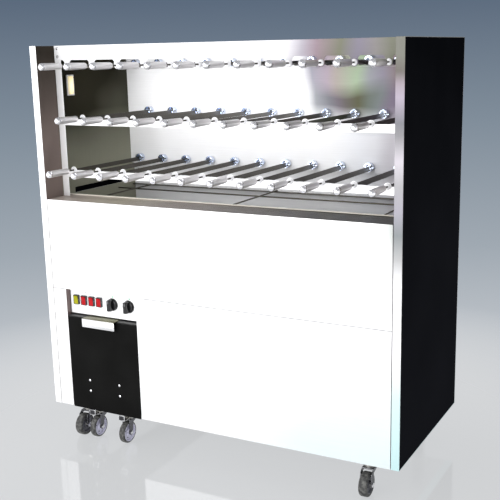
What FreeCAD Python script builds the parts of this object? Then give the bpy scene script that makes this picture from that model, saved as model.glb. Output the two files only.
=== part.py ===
"""Skewer rotisserie oven: gas-fired cabinet on casters with three rows of motor-driven skewers.

Frame: millimetres, +Z up, origin on the floor under the middle of the whole machine,
front faces -Y. Helper arguments use cabinet distances: x from the outer left face,
y from the front plane towards the back, z from the floor.
"""
import FreeCAD, Part
import math
import os

V = FreeCAD.Vector

# --- cabinet -------------------------------------------------------------------------
WIDTH = 1500.0
DEPTH = 675.0
BODY_BOTTOM = 128.0
BODY_TOP = BODY_BOTTOM + 1445.0
GRIP_REACH = 54.0
INLET_REACH = 21.0
MID_Y = (DEPTH + INLET_REACH - GRIP_REACH) / 2.0

SHEET = 1.5
WALL = 30.0
POST = 30.0
GAP = 2.5
INNER_LEFT = WALL
INNER_RIGHT = WIDTH - WALL

# --- cooking chamber -----------------------------------------------------------------
CHAMBER_FRONT = 105.0
RAIL_T = 2.0
BACK_Y = 574.0
LOWER_BACK_Y = 596.0
UPPER_BACK_EDGE = BODY_BOTTOM + 935.0
LOWER_BACK_TOP = BODY_BOTTOM + 945.0
FASCIA_BOTTOM = BODY_BOTTOM + 1390.0
HOOD_SEAM_Z = BODY_BOTTOM + 1344.5
LEDGE_Z = BODY_BOTTOM + 855.0
LEDGE_DEPTH = 131.0
LIP_DEPTH = 13.0
LIP_RISE = 4.0
SEAM_Z = BODY_BOTTOM + 495.5
PAN_Z = BODY_BOTTOM + 640.0
GRATE_Z = BODY_BOTTOM + 842.0

# --- skewers -------------------------------------------------------------------------
PITCH = 120.0
OUTER_COUNT = 12
MIDDLE_COUNT = 11
OUTER_X0 = 90.0
MIDDLE_X0 = OUTER_X0 + PITCH / 2.0
ROW_BOTTOM_Z = BODY_BOTTOM + 961.0
ROW_MIDDLE_Z = BODY_BOTTOM + 1167.0
ROW_TOP_Z = BODY_BOTTOM + 1367.5
ROWS = [
    ("top", OUTER_X0, OUTER_COUNT, ROW_TOP_Z),
    ("middle", MIDDLE_X0, MIDDLE_COUNT, ROW_MIDDLE_Z),
    ("bottom", OUTER_X0, OUTER_COUNT, ROW_BOTTOM_Z),
]

GRIP_R = 14.0
GRIP_TAIL_R = 12.0
GRIP_ROUND = 5.0
GRIP_END = 67.0
ROD_R = 3.2
BLADE_START = 122.0
BLADE_FULL = 185.0
BLADE_NARROW = 540.0
TANG_START = 543.0
BLADE_END = 562.0
BLADE_HALF = 15.0
BLADE_RISE = 15.0
BLADE_CREST = 4.2
BLADE_T = 2.2
BLADE_TIP_HALF = 3.0
TANG_HALF = 4.2
COLLAR_R = 11.0
COLLAR_T = 7.0
EYE_R = 11.5
EAR_R = 13.5
TAB_CHAMFER = 7.0
CUP_R = 17.5
CUP_BORE = 12.5
CUP_START = 545.0
CUP_END = 572.0
CUP_FLOOR = 565.0
CUP_SLOT = 5.0
SPINDLE_R = 6.0
SPINDLE_END = 610.0
RUN_FIT = 0.05
SPROCKET_R = 22.0
SPROCKET_ROOT = 19.0
SPROCKET_TEETH = 16
SPROCKET_Y = 600.0
SPROCKET_T = 6.0

# --- trolley bay and trolley ---------------------------------------------------------
BAY_LEFT = 95.0
BAY_RIGHT = 434.0
SLOT_LEFT = 167.5
SLOT_RIGHT = 436.0
BAY_BACK = 585.0
BAY_TOP = BODY_BOTTOM + 391.0
PANEL_Y = 25.0
PANEL_BOTTOM = BODY_BOTTOM + 393.0
PANEL_TOP = BODY_BOTTOM + 494.0
PANEL_BOX_BACK = 150.0
TROLLEY_LEFT = 97.5
TROLLEY_RIGHT = 431.5
TROLLEY_BOTTOM = BODY_BOTTOM - 3.0
TROLLEY_TOP = BODY_BOTTOM + 387.0
BIN_LEFT = 172.0
BIN_BACK = 520.0
BIN_BOTTOM = BODY_BOTTOM + 12.0
BIN_TOP = BODY_BOTTOM + 381.0
TROLLEY_FLANGE = 30.0
HANDLE_X = (184.0, 340.0)
HANDLE_REACH = 22.0
HANDLE_DROP = 32.0
HANDLE_T = 3.0

# --- controls ------------------------------------------------------------------------
SWITCH_Z = BODY_BOTTOM + 451.5
SWITCH_X = [130.0 + 37.5 * i for i in range(4)]
SWITCH_NAMES = ["switch_yellow", "switch_red_1", "switch_red_2", "switch_red_3"]
SWITCH_REACH = 11.0
PIVOT_REACH = 6.0
ROCKER_W = 20.4
ROCKER_H = 33.0
ROCKER_TILT = 7.0
HOUSING_W = 24.0
HOUSING_H = 38.4
CUT_W = 21.0
CUT_H = 35.4
KNOB_Z = BODY_BOTTOM + 448.5
KNOB_X = {"knob_left": 304.0, "knob_right": 382.5}
KNOB_R = 25.5
KNOB_REACH = 30.0
KNOB_SHAFT_R = 4.0
KNOB_SKIRT = 9.0
KNOB_BAR_HALF = 9.0
ROCKER_PIN_R = 1.5

# --- gas and power inlets at the rear ------------------------------------------------
GAS_INLET = (1290.0, BODY_BOTTOM + 590.0)
INLET_R = 10.5
INLET_LENGTH = 18.0
GAS_PIPE_R = 8.0
CABLE_GLAND = (300.0, BODY_BOTTOM + 590.0)
GLAND_BORE_R = 5.5
GLAND_CONE_R = 11.0
GLAND_NUT_R = 15.0
GLAND_NUT_T = 6.0
GLAND_LENGTH = 16.0

# --- casters -------------------------------------------------------------------------
WHEEL_R = 44.5
WHEEL_W = 32.0
RIM_SHARE = 0.76
AXLE_R = 6.0
CASTER_X = [127.0, WIDTH - 127.0]
FRONT_AXLE_Y = 22.0
TRAIL = 35.0
REAR_AXLE_Y = 610.0
TROLLEY_WHEEL_R = 44.5
TROLLEY_WHEEL_W = 26.0
TROLLEY_RIM_SHARE = 0.84
TROLLEY_CASTER_X = [193.5, 338.5]
TROLLEY_AXLE_Y = 30.0
TROLLEY_TRAIL = 22.0
PLATE_T = 5.0
PLATE_HALF = 40.0
KINGPIN_R = 6.0
FORK_PLATE_T = 5.0
FORK_LEG_T = 3.0
FORK_LEG_HALF = 11.0
FORK_SPREAD = 5.0
FORK_CLEAR = 3.0
FORK_REACH = 26.0
FORK_BACK = 22.0
CROWN_R = 22.0
CROWN_RISE = 6.0
PEDAL_HALF = 14.0
PEDAL_T = 2.0
PEDAL_RISE = 22.0
PEDAL_REACH = 6.0
PEDAL_ARM_END = 40.0


def box(x0, x1, y0, y1, z0, z1):
    """Box between cabinet distances."""
    corner = V(x0 - WIDTH / 2.0, y0 - MID_Y, z0)
    return Part.makeBox(x1 - x0, y1 - y0, z1 - z0, corner)


def point(x, y, z):
    """Cabinet distances to frame coordinates."""
    return V(x - WIDTH / 2.0, y - MID_Y, z)


def rod(radius, start, end):
    """Round bar between two cabinet points."""
    a = point(*start)
    b = point(*end)
    return Part.makeCylinder(radius, (b - a).Length, a, b - a)


def prism(points, direction):
    """Closed outline of cabinet points swept along a vector."""
    wire = Part.makePolygon([point(*p) for p in points + points[:1]])
    return Part.Face(wire).extrude(direction)


def save(name, solids):
    """Write one node; several pieces stay separate solids."""
    shape = solids[0] if len(solids) == 1 else Part.makeCompound(solids)
    shape.exportStep("parts/" + name + ".step")


def mirror_x(shape):
    """Copy of a shape on the other side of the machine's centre plane."""
    return shape.mirror(V(0, 0, 0), V(1, 0, 0))


# --- skewer --------------------------------------------------------------------------
def turned(profile):
    """Solid of revolution about the skewer axis from (distance, radius) pairs."""
    outline = [V(0, profile[0][0], 0)]
    outline += [V(r, y, 0) for y, r in profile]
    outline += [V(0, profile[-1][0], 0), V(0, profile[0][0], 0)]
    face = Part.Face(Part.makePolygon(outline))
    return face.revolve(V(0, 0, 0), V(0, 1, 0), 360.0)


def grip():
    """Tapered round handle with a domed butt."""
    tip = -GRIP_REACH
    dome = V(GRIP_R * math.sin(math.radians(45)), tip + GRIP_R * (1 - math.cos(math.radians(45))), 0)
    shoulder = V(GRIP_R, tip + GRIP_R, 0)
    neck = V(GRIP_TAIL_R, GRIP_END - GRIP_ROUND, 0)
    heel = V(GRIP_TAIL_R - GRIP_ROUND, GRIP_END, 0)
    bow = GRIP_ROUND * math.sqrt(0.5)
    corner = V(heel.x + bow, neck.y + bow, 0)
    edges = [
        Part.Arc(V(0, tip, 0), dome, shoulder).toShape(),
        Part.makeLine(shoulder, neck),
        Part.Arc(neck, corner, heel).toShape(),
        Part.makeLine(heel, V(0, GRIP_END, 0)),
        Part.makeLine(V(0, GRIP_END, 0), V(0, tip, 0)),
    ]
    return Part.Face(Part.Wire(edges)).revolve(V(0, 0, 0), V(0, 1, 0), 360.0)


def blade():
    """Round front rod running into an angle-section blade, pointed in front and with a narrow tang."""
    top = BLADE_CREST
    low = BLADE_CREST - BLADE_RISE
    inner = BLADE_T * math.sqrt(2.0)
    section = [
        V(-BLADE_HALF, BLADE_START, low),
        V(0, BLADE_START, top),
        V(BLADE_HALF, BLADE_START, low),
        V(BLADE_HALF - inner, BLADE_START, low),
        V(0, BLADE_START, top - inner),
        V(-BLADE_HALF + inner, BLADE_START, low),
    ]
    face = Part.Face(Part.makePolygon(section + section[:1]))
    angle = face.extrude(V(0, BLADE_END - BLADE_START, 0))
    stations = [
        (BLADE_START, BLADE_TIP_HALF), (BLADE_FULL, BLADE_HALF), (BLADE_NARROW, BLADE_HALF),
        (TANG_START, TANG_HALF), (BLADE_END, TANG_HALF),
    ]
    plan = [V(half, y, low) for y, half in stations]
    plan += [V(-half, y, low) for y, half in reversed(stations)]
    angle = angle.common(Part.Face(Part.makePolygon(plan + plan[:1])).extrude(V(0, 0, BLADE_RISE)))
    front = Part.makeCylinder(ROD_R, BLADE_START + 25.0 - GRIP_END, V(0, GRIP_END, 0), V(0, 1, 0))
    return angle.fuse(front).removeSplitter()


def collar():
    """Grooved bush that rides in the eye of the front rail."""
    start = CHAMBER_FRONT + RAIL_T / 2.0 - COLLAR_T / 2.0
    ring = turned([
        (start, COLLAR_R - 1.0),
        (start + 1.0, COLLAR_R),
        (start + COLLAR_T - 1.0, COLLAR_R),
        (start + COLLAR_T, COLLAR_R - 1.0),
    ])
    return ring.cut(Part.makeCylinder(ROD_R, COLLAR_T + 2.0, V(0, start - 1.0, 0), V(0, 1, 0)))


def chuck():
    """Slotted drive cup on its spindle."""
    cup = turned([
        (CUP_START, CUP_R - 1.5),
        (CUP_START + 1.5, CUP_R),
        (CUP_END - 3.0, CUP_R),
        (CUP_END, CUP_R - 3.0),
    ])
    cup = cup.cut(Part.makeCylinder(CUP_BORE, CUP_FLOOR - CUP_START, V(0, CUP_START, 0), V(0, 1, 0)))
    for turn in (0.0, 90.0):
        slot = Part.makeBox(2 * CUP_R + 2, 10.0, CUP_SLOT, V(-CUP_R - 1, CUP_START - 1, -CUP_SLOT / 2))
        slot.rotate(V(0, 0, 0), V(0, 1, 0), turn)
        cup = cup.cut(slot)
    spindle = Part.makeCylinder(SPINDLE_R, SPINDLE_END - CUP_END, V(0, CUP_END, 0), V(0, 1, 0))
    return cup.fuse(spindle).removeSplitter()


def sprocket():
    """Toothed drive wheel keyed to the spindle."""
    outline = []
    for i in range(SPROCKET_TEETH * 2):
        radius = SPROCKET_R if i % 2 == 0 else SPROCKET_ROOT
        angle = math.pi * i / SPROCKET_TEETH
        outline.append(V(radius * math.sin(angle), SPROCKET_Y, radius * math.cos(angle)))
    disc = Part.Face(Part.makePolygon(outline + outline[:1])).extrude(V(0, SPROCKET_T, 0))
    return disc.cut(Part.makeCylinder(SPINDLE_R, SPROCKET_T + 2, V(0, SPROCKET_Y - 1, 0), V(0, 1, 0)))


def make_skewers():
    """One node per skewer, the same five pieces in each."""
    pieces = [grip(), blade(), collar(), chuck(), sprocket()]
    for row, x0, count, z in ROWS:
        for i in range(count):
            move = point(x0 + i * PITCH, 0, z)
            copies = [p.copy() for p in pieces]
            for copy in copies:
                copy.translate(move)
            save("skewer_%s_%02d" % (row, i + 1), copies)


# --- cabinet sheet metal -------------------------------------------------------------
def make_side_walls():
    """Folded trays with the open side outwards; the left one has a vent slot."""
    tray = box(0, WALL, 0, DEPTH, BODY_BOTTOM, BODY_TOP)
    pocket = box(-1, WALL - SHEET, SHEET, DEPTH - SHEET, BODY_BOTTOM + SHEET, BODY_TOP - SHEET)
    tray = tray.cut(pocket)
    slot = box(WALL - 2 * SHEET, WALL + 1, 178, 500, BODY_BOTTOM + 857, BODY_BOTTOM + 879)
    save("side_walls", [tray.cut(slot), mirror_x(tray)])

    cover = box(0, SHEET, SHEET, DEPTH - SHEET, BODY_BOTTOM + SHEET, BODY_TOP - SHEET)
    save("side_covers", [cover, mirror_x(cover)])


def make_back_wall():
    """Upper wall and hood strip with spindle holes, and the set-back lower wall of the fire box."""
    upper = box(INNER_LEFT, INNER_RIGHT, BACK_Y, BACK_Y + SHEET, UPPER_BACK_EDGE, HOOD_SEAM_Z - 0.5)
    hood = box(INNER_LEFT, INNER_RIGHT, BACK_Y, BACK_Y + SHEET, HOOD_SEAM_Z + 0.5, BODY_TOP - SHEET)
    for _, x0, count, z in ROWS:
        for i in range(count):
            x = x0 + i * PITCH
            hole = rod(SPINDLE_R + 3.0, (x, BACK_Y - 1, z), (x, BACK_Y + SHEET + 1, z))
            if z > HOOD_SEAM_Z:
                hood = hood.cut(hole)
            else:
                upper = upper.cut(hole)
    lower = box(INNER_LEFT, INNER_RIGHT, LOWER_BACK_Y, LOWER_BACK_Y + SHEET, PAN_Z + SHEET, LOWER_BACK_TOP)
    save("back_wall", [upper, hood, lower])


def make_rear_cover():
    """Screwed rear panel with louvre slots, a gas pipe hole and the cable gland."""
    back = DEPTH
    panel = box(INNER_LEFT, INNER_RIGHT, back - SHEET, back, BODY_BOTTOM, BODY_TOP - SHEET)
    for x in (200.0, 640.0, 1080.0):
        for level in (980.0, 1300.0):
            for i in range(6):
                z = BODY_BOTTOM + level + i * 16.0
                panel = panel.cut(box(x, x + 220, back - SHEET - 1, back + 1, z, z + 6))
    x, z = GAS_INLET
    panel = panel.cut(rod(GAS_PIPE_R + 2, (x, back - SHEET - 1, z), (x, back + 1, z)))
    gx, gz = CABLE_GLAND
    panel = panel.cut(rod(GLAND_BORE_R + 2, (gx, back - SHEET - 1, gz), (gx, back + 1, gz)))
    nut = hexagon(gx, gz, back, GLAND_NUT_T, GLAND_NUT_R)
    cone = rod(GLAND_CONE_R, (gx, back + GLAND_NUT_T, gz), (gx, back + GLAND_LENGTH, gz))
    bore = rod(GLAND_BORE_R, (gx, back - 1, gz), (gx, back + GLAND_LENGTH + 1, gz))
    save("rear_cover", [panel, nut.fuse(cone).cut(bore).removeSplitter()])


def hexagon(x, z, y, depth, radius):
    """Hexagonal prism along y."""
    outline = []
    for i in range(6):
        angle = math.pi * i / 3.0
        outline.append((x + radius * math.cos(angle), y, z + radius * math.sin(angle)))
    return prism(outline, V(0, depth, 0))


def make_roof():
    """Roof sheet, and the fascia whose hanging tabs carry the eyes of the top row."""
    roof = box(INNER_LEFT, INNER_RIGHT, CHAMBER_FRONT, DEPTH, BODY_TOP - SHEET, BODY_TOP)
    back = CHAMBER_FRONT + RAIL_T
    fascia = box(INNER_LEFT, INNER_RIGHT, CHAMBER_FRONT, back, FASCIA_BOTTOM, BODY_TOP - SHEET)
    for i in range(OUTER_COUNT):
        x = OUTER_X0 + i * PITCH
        y = CHAMBER_FRONT
        outline = [
            (x - EAR_R, y, ROW_TOP_Z), (x + EAR_R, y, ROW_TOP_Z),
            (x + EAR_R, y, FASCIA_BOTTOM - TAB_CHAMFER), (x + EAR_R + TAB_CHAMFER, y, FASCIA_BOTTOM),
            (x - EAR_R - TAB_CHAMFER, y, FASCIA_BOTTOM), (x - EAR_R, y, FASCIA_BOTTOM - TAB_CHAMFER),
        ]
        fascia = fascia.fuse(prism(outline, V(0, RAIL_T, 0)))
        fascia = fascia.fuse(rod(EAR_R, (x, y, ROW_TOP_Z), (x, back, ROW_TOP_Z)))
    fascia = eyes(fascia.removeSplitter(), OUTER_X0, OUTER_COUNT, ROW_TOP_Z)
    save("roof_hood", [roof, fascia])


def eyes(plate, x0, count, z):
    """Plate with a round eye at every skewer of a row."""
    for i in range(count):
        x = x0 + i * PITCH
        plate = plate.cut(rod(EYE_R, (x, CHAMBER_FRONT - 1, z), (x, CHAMBER_FRONT + RAIL_T + 1, z)))
    return plate


def eared_rail(x0, count, z):
    """Angle rail whose upright has a round ear at every skewer."""
    back = CHAMBER_FRONT + RAIL_T
    left = INNER_LEFT + POST
    right = INNER_RIGHT - POST
    rail = box(left, right, CHAMBER_FRONT, back, z - 28.5, z)
    rail = rail.fuse(box(left, right, CHAMBER_FRONT, back + 12, z - 28.5, z - 28.5 + RAIL_T))
    for i in range(count):
        x = x0 + i * PITCH
        rail = rail.fuse(rod(EAR_R, (x, CHAMBER_FRONT, z), (x, back, z)))
    return eyes(rail.removeSplitter(), x0, count, z)


def make_rails():
    """Corner posts and the two lower skewer rails."""
    back = CHAMBER_FRONT + RAIL_T
    post = box(INNER_LEFT, INNER_LEFT + POST, CHAMBER_FRONT, back, LEDGE_Z, FASCIA_BOTTOM)
    solids = [post, mirror_x(post)]
    solids.append(eared_rail(MIDDLE_X0, MIDDLE_COUNT, ROW_MIDDLE_Z))
    solids.append(eared_rail(OUTER_X0, OUTER_COUNT, ROW_BOTTOM_Z))
    save("skewer_rails", solids)


def make_front_panels():
    """Fire-box front, ledge, lip and inner wall as welded sheets, and the two lower panels."""
    left = INNER_LEFT + GAP
    right = INNER_RIGHT - GAP
    lip_back = LEDGE_DEPTH + LIP_DEPTH
    firebox = [
        box(left, right, 0, SHEET, SEAM_Z + 1, LEDGE_Z),
        box(left, right, SHEET, LEDGE_DEPTH, LEDGE_Z - SHEET, LEDGE_Z),
        box(left, right, LEDGE_DEPTH, lip_back, LEDGE_Z - SHEET, LEDGE_Z + LIP_RISE),
        box(left, right, lip_back - SHEET, lip_back, PAN_Z + SHEET, LEDGE_Z - SHEET),
    ]
    low_top = SEAM_Z - 1
    strip = box(left, BAY_LEFT, 0, SHEET, BODY_BOTTOM, low_top)
    strip = strip.fuse(box(BAY_LEFT - SHEET, BAY_LEFT, 0, PANEL_Y, BODY_BOTTOM + 2, low_top)).removeSplitter()
    main = box(BAY_RIGHT, right, 0, SHEET, BODY_BOTTOM, low_top)
    save("front_panels", firebox + [strip, main])


# --- inside the cabinet --------------------------------------------------------------
def make_burner_bed():
    """Fire pan, tube burners on combs, gas pipe with its inlet stub, and the grate bars."""
    back = LOWER_BACK_Y
    front = LEDGE_DEPTH + LIP_DEPTH
    solids = [box(INNER_LEFT, INNER_RIGHT, front - SHEET, back + SHEET, PAN_Z, PAN_Z + SHEET)]
    burner_z = PAN_Z + 60.0
    burner_r = 16.0
    for x in (110.0, 1384.0):
        solids.append(box(x, x + 6, front + 20, back - 20, PAN_Z + SHEET, burner_z - burner_r))
    for y in (220.0, 370.0, 520.0):
        solids.append(rod(burner_r, (80, y, burner_z), (WIDTH - 80, y, burner_z)))
    x, z = GAS_INLET
    end = DEPTH + INLET_REACH
    pipe = rod(GAS_PIPE_R, (x, 250, z), (x, end - 1, z))
    stub = rod(INLET_R, (x, end - INLET_LENGTH, z), (x, end, z))
    riser = rod(GAS_PIPE_R, (x, 370, z), (x, 370, PAN_Z))
    solids.append(pipe.fuse([stub, riser]).removeSplitter())
    solids.append(box(INNER_LEFT, INNER_RIGHT, front, front + 20, GRATE_Z - 6, GRATE_Z - 3))
    solids.append(box(INNER_LEFT, INNER_RIGHT, back - 20, back, GRATE_Z - 6, GRATE_Z - 3))
    for x in (143.0, WIDTH / 2.0, WIDTH - 143.0):
        solids.append(rod(3.0, (x, front + 2, GRATE_Z), (x, back - 2, GRATE_Z)))
    cross_z = GRATE_Z - 6.0
    solids.append(rod(3.0, (INNER_LEFT + 2, 468, cross_z), (INNER_RIGHT - 2, 468, cross_z)))
    save("burner_bed", solids)


def chain(x0, count, z):
    """Chain loop round all sprockets of one row: two straight strands and two end bends."""
    clear = SPROCKET_R + 0.5
    band = clear + 4.0
    y0 = SPROCKET_Y + 1.0
    y1 = y0 + SPROCKET_T - 2.0
    xa = x0
    xb = x0 + (count - 1) * PITCH
    loop = [box(xa, xb, y0, y1, z + clear, z + band), box(xa, xb, y0, y1, z - band, z - clear)]
    for x, outside in ((xa, (xa - band, xa)), (xb, (xb, xb + band))):
        ring = rod(band, (x, y0, z), (x, y1, z)).cut(rod(clear, (x, y0, z), (x, y1, z)))
        loop.append(ring.common(box(outside[0], outside[1], y0, y1, z - band, z + band)))
    return loop


def make_row_drives():
    """Per row: bored bearing bar, chain, and a gearmotor behind the first spindle."""
    solids = []
    for _, x0, count, z in ROWS:
        y = BACK_Y + SHEET + 1.5
        bar = box(x0 - 40, x0 + (count - 1) * PITCH + 40, y, y + 8, z - 15, z + 15)
        for i in range(count):
            x = x0 + i * PITCH
            bar = bar.cut(rod(SPINDLE_R + RUN_FIT, (x, y - 1, z), (x, y + 9, z)))
        solids.append(bar)
        solids += chain(x0, count, z)
        gearbox = box(x0 - 35, x0 + 35, SPINDLE_END + 2, SPINDLE_END + 50, z - 35, z + 35)
        motor = rod(22.0, (x0, SPINDLE_END + 26, z - 125), (x0, SPINDLE_END + 26, z - 35))
        solids.append(gearbox)
        solids.append(motor)
    save("row_drives", solids)


def make_lamp():
    """Oblong bulkhead lamp on the left wall: bezel and rounded lens."""
    bezel = box(WALL, WALL + 7, 164, 206, BODY_BOTTOM + 1250, BODY_BOTTOM + 1332)
    lens = box(WALL + 7, WALL + 14, 168, 195, BODY_BOTTOM + 1255, BODY_BOTTOM + 1327)
    bezel = bezel.makeFillet(3.0, [e for e in bezel.Edges if is_along_x(e)])
    lens = lens.makeFillet(5.0, [e for e in lens.Edges if is_along_x(e)])
    save("chamber_lamp", [bezel, lens])


def is_along_x(edge):
    """True for a straight edge parallel to the width direction."""
    a, b = edge.Vertexes[0].Point, edge.Vertexes[-1].Point
    return abs(a.y - b.y) < 1e-6 and abs(a.z - b.z) < 1e-6


# --- control panel, switches and knobs -------------------------------------------------
def make_control_panel():
    """Panel plate with cut-outs, the sheets of its box, and one square housing tube per switch."""
    x0 = BAY_LEFT + 2
    x1 = BAY_RIGHT + 10
    y1 = PANEL_Y + SHEET
    back = PANEL_BOX_BACK
    plate = box(x0, x1, PANEL_Y, y1, PANEL_BOTTOM, PANEL_TOP)
    sides = [
        box(x0, x1, y1, back, PANEL_BOTTOM, PANEL_BOTTOM + SHEET),
        box(x0, x1, y1, back, PANEL_TOP - SHEET, PANEL_TOP),
        box(x0, x0 + SHEET, y1, back, PANEL_BOTTOM + SHEET, PANEL_TOP - SHEET),
        box(x1 - SHEET, x1, y1, back, PANEL_BOTTOM + SHEET, PANEL_TOP - SHEET),
    ]
    front = PANEL_Y - SWITCH_REACH
    housings = []
    for x in SWITCH_X:
        hole = box(x - CUT_W / 2, x + CUT_W / 2, front - 1, PANEL_Y + 3,
                   SWITCH_Z - CUT_H / 2, SWITCH_Z + CUT_H / 2)
        plate = plate.cut(hole)
        pivot_y = PANEL_Y - PIVOT_REACH
        pivot = rod(ROCKER_PIN_R + RUN_FIT, (x - HOUSING_W, pivot_y, SWITCH_Z),
                    (x + HOUSING_W, pivot_y, SWITCH_Z))
        tube = box(x - HOUSING_W / 2, x + HOUSING_W / 2, front, PANEL_Y,
                   SWITCH_Z - HOUSING_H / 2, SWITCH_Z + HOUSING_H / 2)
        housings.append(tube.cut(hole).cut(pivot))
    for x in KNOB_X.values():
        plate = plate.cut(rod(KNOB_SHAFT_R + RUN_FIT, (x, PANEL_Y - 1, KNOB_Z), (x, PANEL_Y + 3, KNOB_Z)))
    save("control_panel", [plate] + sides + housings)


def make_switches():
    """Rockers with a two-facet face, resting tilted to one side."""
    pivot_y = PANEL_Y - PIVOT_REACH
    half = ROCKER_H / 2.0
    for name, x in zip(SWITCH_NAMES, SWITCH_X):
        a = x - ROCKER_W / 2.0
        outline = [
            (a, pivot_y + 5, SWITCH_Z - half), (a, pivot_y - 6.5, SWITCH_Z - half),
            (a, pivot_y - 4.5, SWITCH_Z), (a, pivot_y - 6.5, SWITCH_Z + half),
            (a, pivot_y + 5, SWITCH_Z + half),
        ]
        rocker = prism(outline, V(ROCKER_W, 0, 0))
        rocker.rotate(point(x, pivot_y, SWITCH_Z), V(1, 0, 0), ROCKER_TILT)
        pin_half = HOUSING_W / 2.0 - 0.2
        pin = rod(ROCKER_PIN_R, (x - pin_half, pivot_y, SWITCH_Z), (x + pin_half, pivot_y, SWITCH_Z))
        save(name, [rocker.fuse(pin).removeSplitter()])


def make_knobs():
    """Skirted knobs with a straight grip bar and their control shafts."""
    for name, x in KNOB_X.items():
        base = PANEL_Y - 0.5
        tip = PANEL_Y - KNOB_REACH
        rim_r = KNOB_R - 2.0
        skirt = Part.makeCone(KNOB_R, rim_r, KNOB_SKIRT, point(x, base, KNOB_Z), V(0, -1, 0))
        bar = box(x - KNOB_BAR_HALF, x + KNOB_BAR_HALF, tip, base - KNOB_SKIRT,
                  KNOB_Z - rim_r, KNOB_Z + rim_r)
        near = tip + 1.0 - MID_Y
        rim = [e for e in bar.Edges if e.Vertexes[0].Point.y < near and e.Vertexes[-1].Point.y < near]
        bar = bar.makeFillet(4.0, rim)
        bar = bar.common(rod(rim_r, (x, tip - 1, KNOB_Z), (x, base, KNOB_Z)))
        shaft = rod(KNOB_SHAFT_R, (x, base - 2, KNOB_Z), (x, PANEL_Y + 20, KNOB_Z))
        save(name, [skirt.fuse(bar).fuse(shaft).removeSplitter()])


# --- base, casters and trolley -------------------------------------------------------
def wheel(x, y, radius, width, axle_r, rim_share):
    """Tyre on a dished hub with a running bore; x is the middle of the tread."""
    z = radius
    rim = radius * rim_share
    half = width / 2.0
    outer = rod(radius, (x - half, y, z), (x + half, y, z))
    outer = outer.makeFillet(5.0, [e for e in outer.Edges if e.Curve.TypeId == "Part::GeomCircle"])
    tyre = outer.cut(rod(rim, (x - half, y, z), (x + half, y, z)))
    hub = rod(rim, (x - half + 1, y, z), (x + half - 1, y, z))
    dish = rim - 7.0
    for side in (-1, 1):
        face = x + side * (half - 1)
        ring = rod(dish, (face, y, z), (face - side * 7, y, z))
        ring = ring.cut(rod(axle_r + 8, (face, y, z), (face - side * 7, y, z)))
        hub = hub.cut(ring)
    hub = hub.cut(rod(axle_r + RUN_FIT, (x - half, y, z), (x + half, y, z)))
    return [tyre, hub]


def fork(x, axle_y, trail, radius, width, crown_top, axle_r):
    """Caster fork: crown plate, two tapered legs and the axle bolt, as one welded piece."""
    z = radius
    inner_gap = width / 2.0 + FORK_CLEAR
    outer_gap = inner_gap + FORK_LEG_T
    low = radius * 2 + CROWN_RISE
    top = low + FORK_PLATE_T
    neck = axle_y + trail
    front = neck - FORK_REACH
    back = neck + FORK_BACK
    piece = box(x - outer_gap, x + outer_gap, front, back, low, top)
    foot = axle_r * 2 + 1
    leg_front = axle_y - FORK_LEG_HALF
    leg_back = axle_y + FORK_LEG_HALF
    knee = low - FORK_SPREAD * 2
    for side in (-1, 1):
        inner = x + side * inner_gap
        outline = [
            (inner, front, top), (inner, back, top), (inner, back, low),
            (inner, leg_back + FORK_SPREAD, knee), (inner, leg_back, z),
            (inner, axle_y + axle_r, z - foot), (inner, axle_y - axle_r, z - foot),
            (inner, leg_front, z), (inner, leg_front + FORK_SPREAD, knee), (inner, front, low),
        ]
        piece = piece.fuse(prism(outline, V(side * FORK_LEG_T, 0, 0)))
    bolt = outer_gap + 5.0
    piece = piece.fuse(rod(axle_r, (x - bolt, axle_y, z), (x + bolt, axle_y, z)))
    piece = piece.fuse(rod(CROWN_R, (x, neck, top), (x, neck, crown_top)))
    return piece.removeSplitter()


def brake_pedal(x):
    """Bent foot lever under the plate of the trolley, its arm running into the caster's raceway."""
    low = TROLLEY_BOTTOM + 1.0 - PEDAL_RISE
    arm = box(x - PEDAL_HALF, x + PEDAL_HALF, -PEDAL_REACH, PEDAL_ARM_END, low, low + PEDAL_T)
    face = box(x - PEDAL_HALF, x + PEDAL_HALF, -PEDAL_REACH, PEDAL_T - PEDAL_REACH, low, low + PEDAL_RISE)
    return arm.fuse(face)


def make_casters():
    """Front casters swivel on a kingpin; every front fork and wheel is its own node."""
    crown_top = BODY_BOTTOM - PLATE_T - 0.5
    for side, x in zip(("left", "right"), CASTER_X):
        body = fork(x, FRONT_AXLE_Y, TRAIL, WHEEL_R, WHEEL_W, crown_top, AXLE_R)
        neck = FRONT_AXLE_Y + TRAIL
        body = body.cut(rod(KINGPIN_R + RUN_FIT, (x, neck, WHEEL_R * 2), (x, neck, BODY_BOTTOM)))
        save("caster_front_%s_fork" % side, [body])
        save("caster_front_%s_wheel" % side, wheel(x, FRONT_AXLE_Y, WHEEL_R, WHEEL_W, AXLE_R, RIM_SHARE))
    rear = []
    for x in CASTER_X:
        rear += wheel(x, REAR_AXLE_Y, WHEEL_R, WHEEL_W, AXLE_R, RIM_SHARE)
    save("rear_wheels", rear)
    small = []
    for x in TROLLEY_CASTER_X:
        small += wheel(x, TROLLEY_AXLE_Y, TROLLEY_WHEEL_R, TROLLEY_WHEEL_W, AXLE_R - 1,
                       TROLLEY_RIM_SHARE)
    save("trolley_wheels", small)


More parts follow.
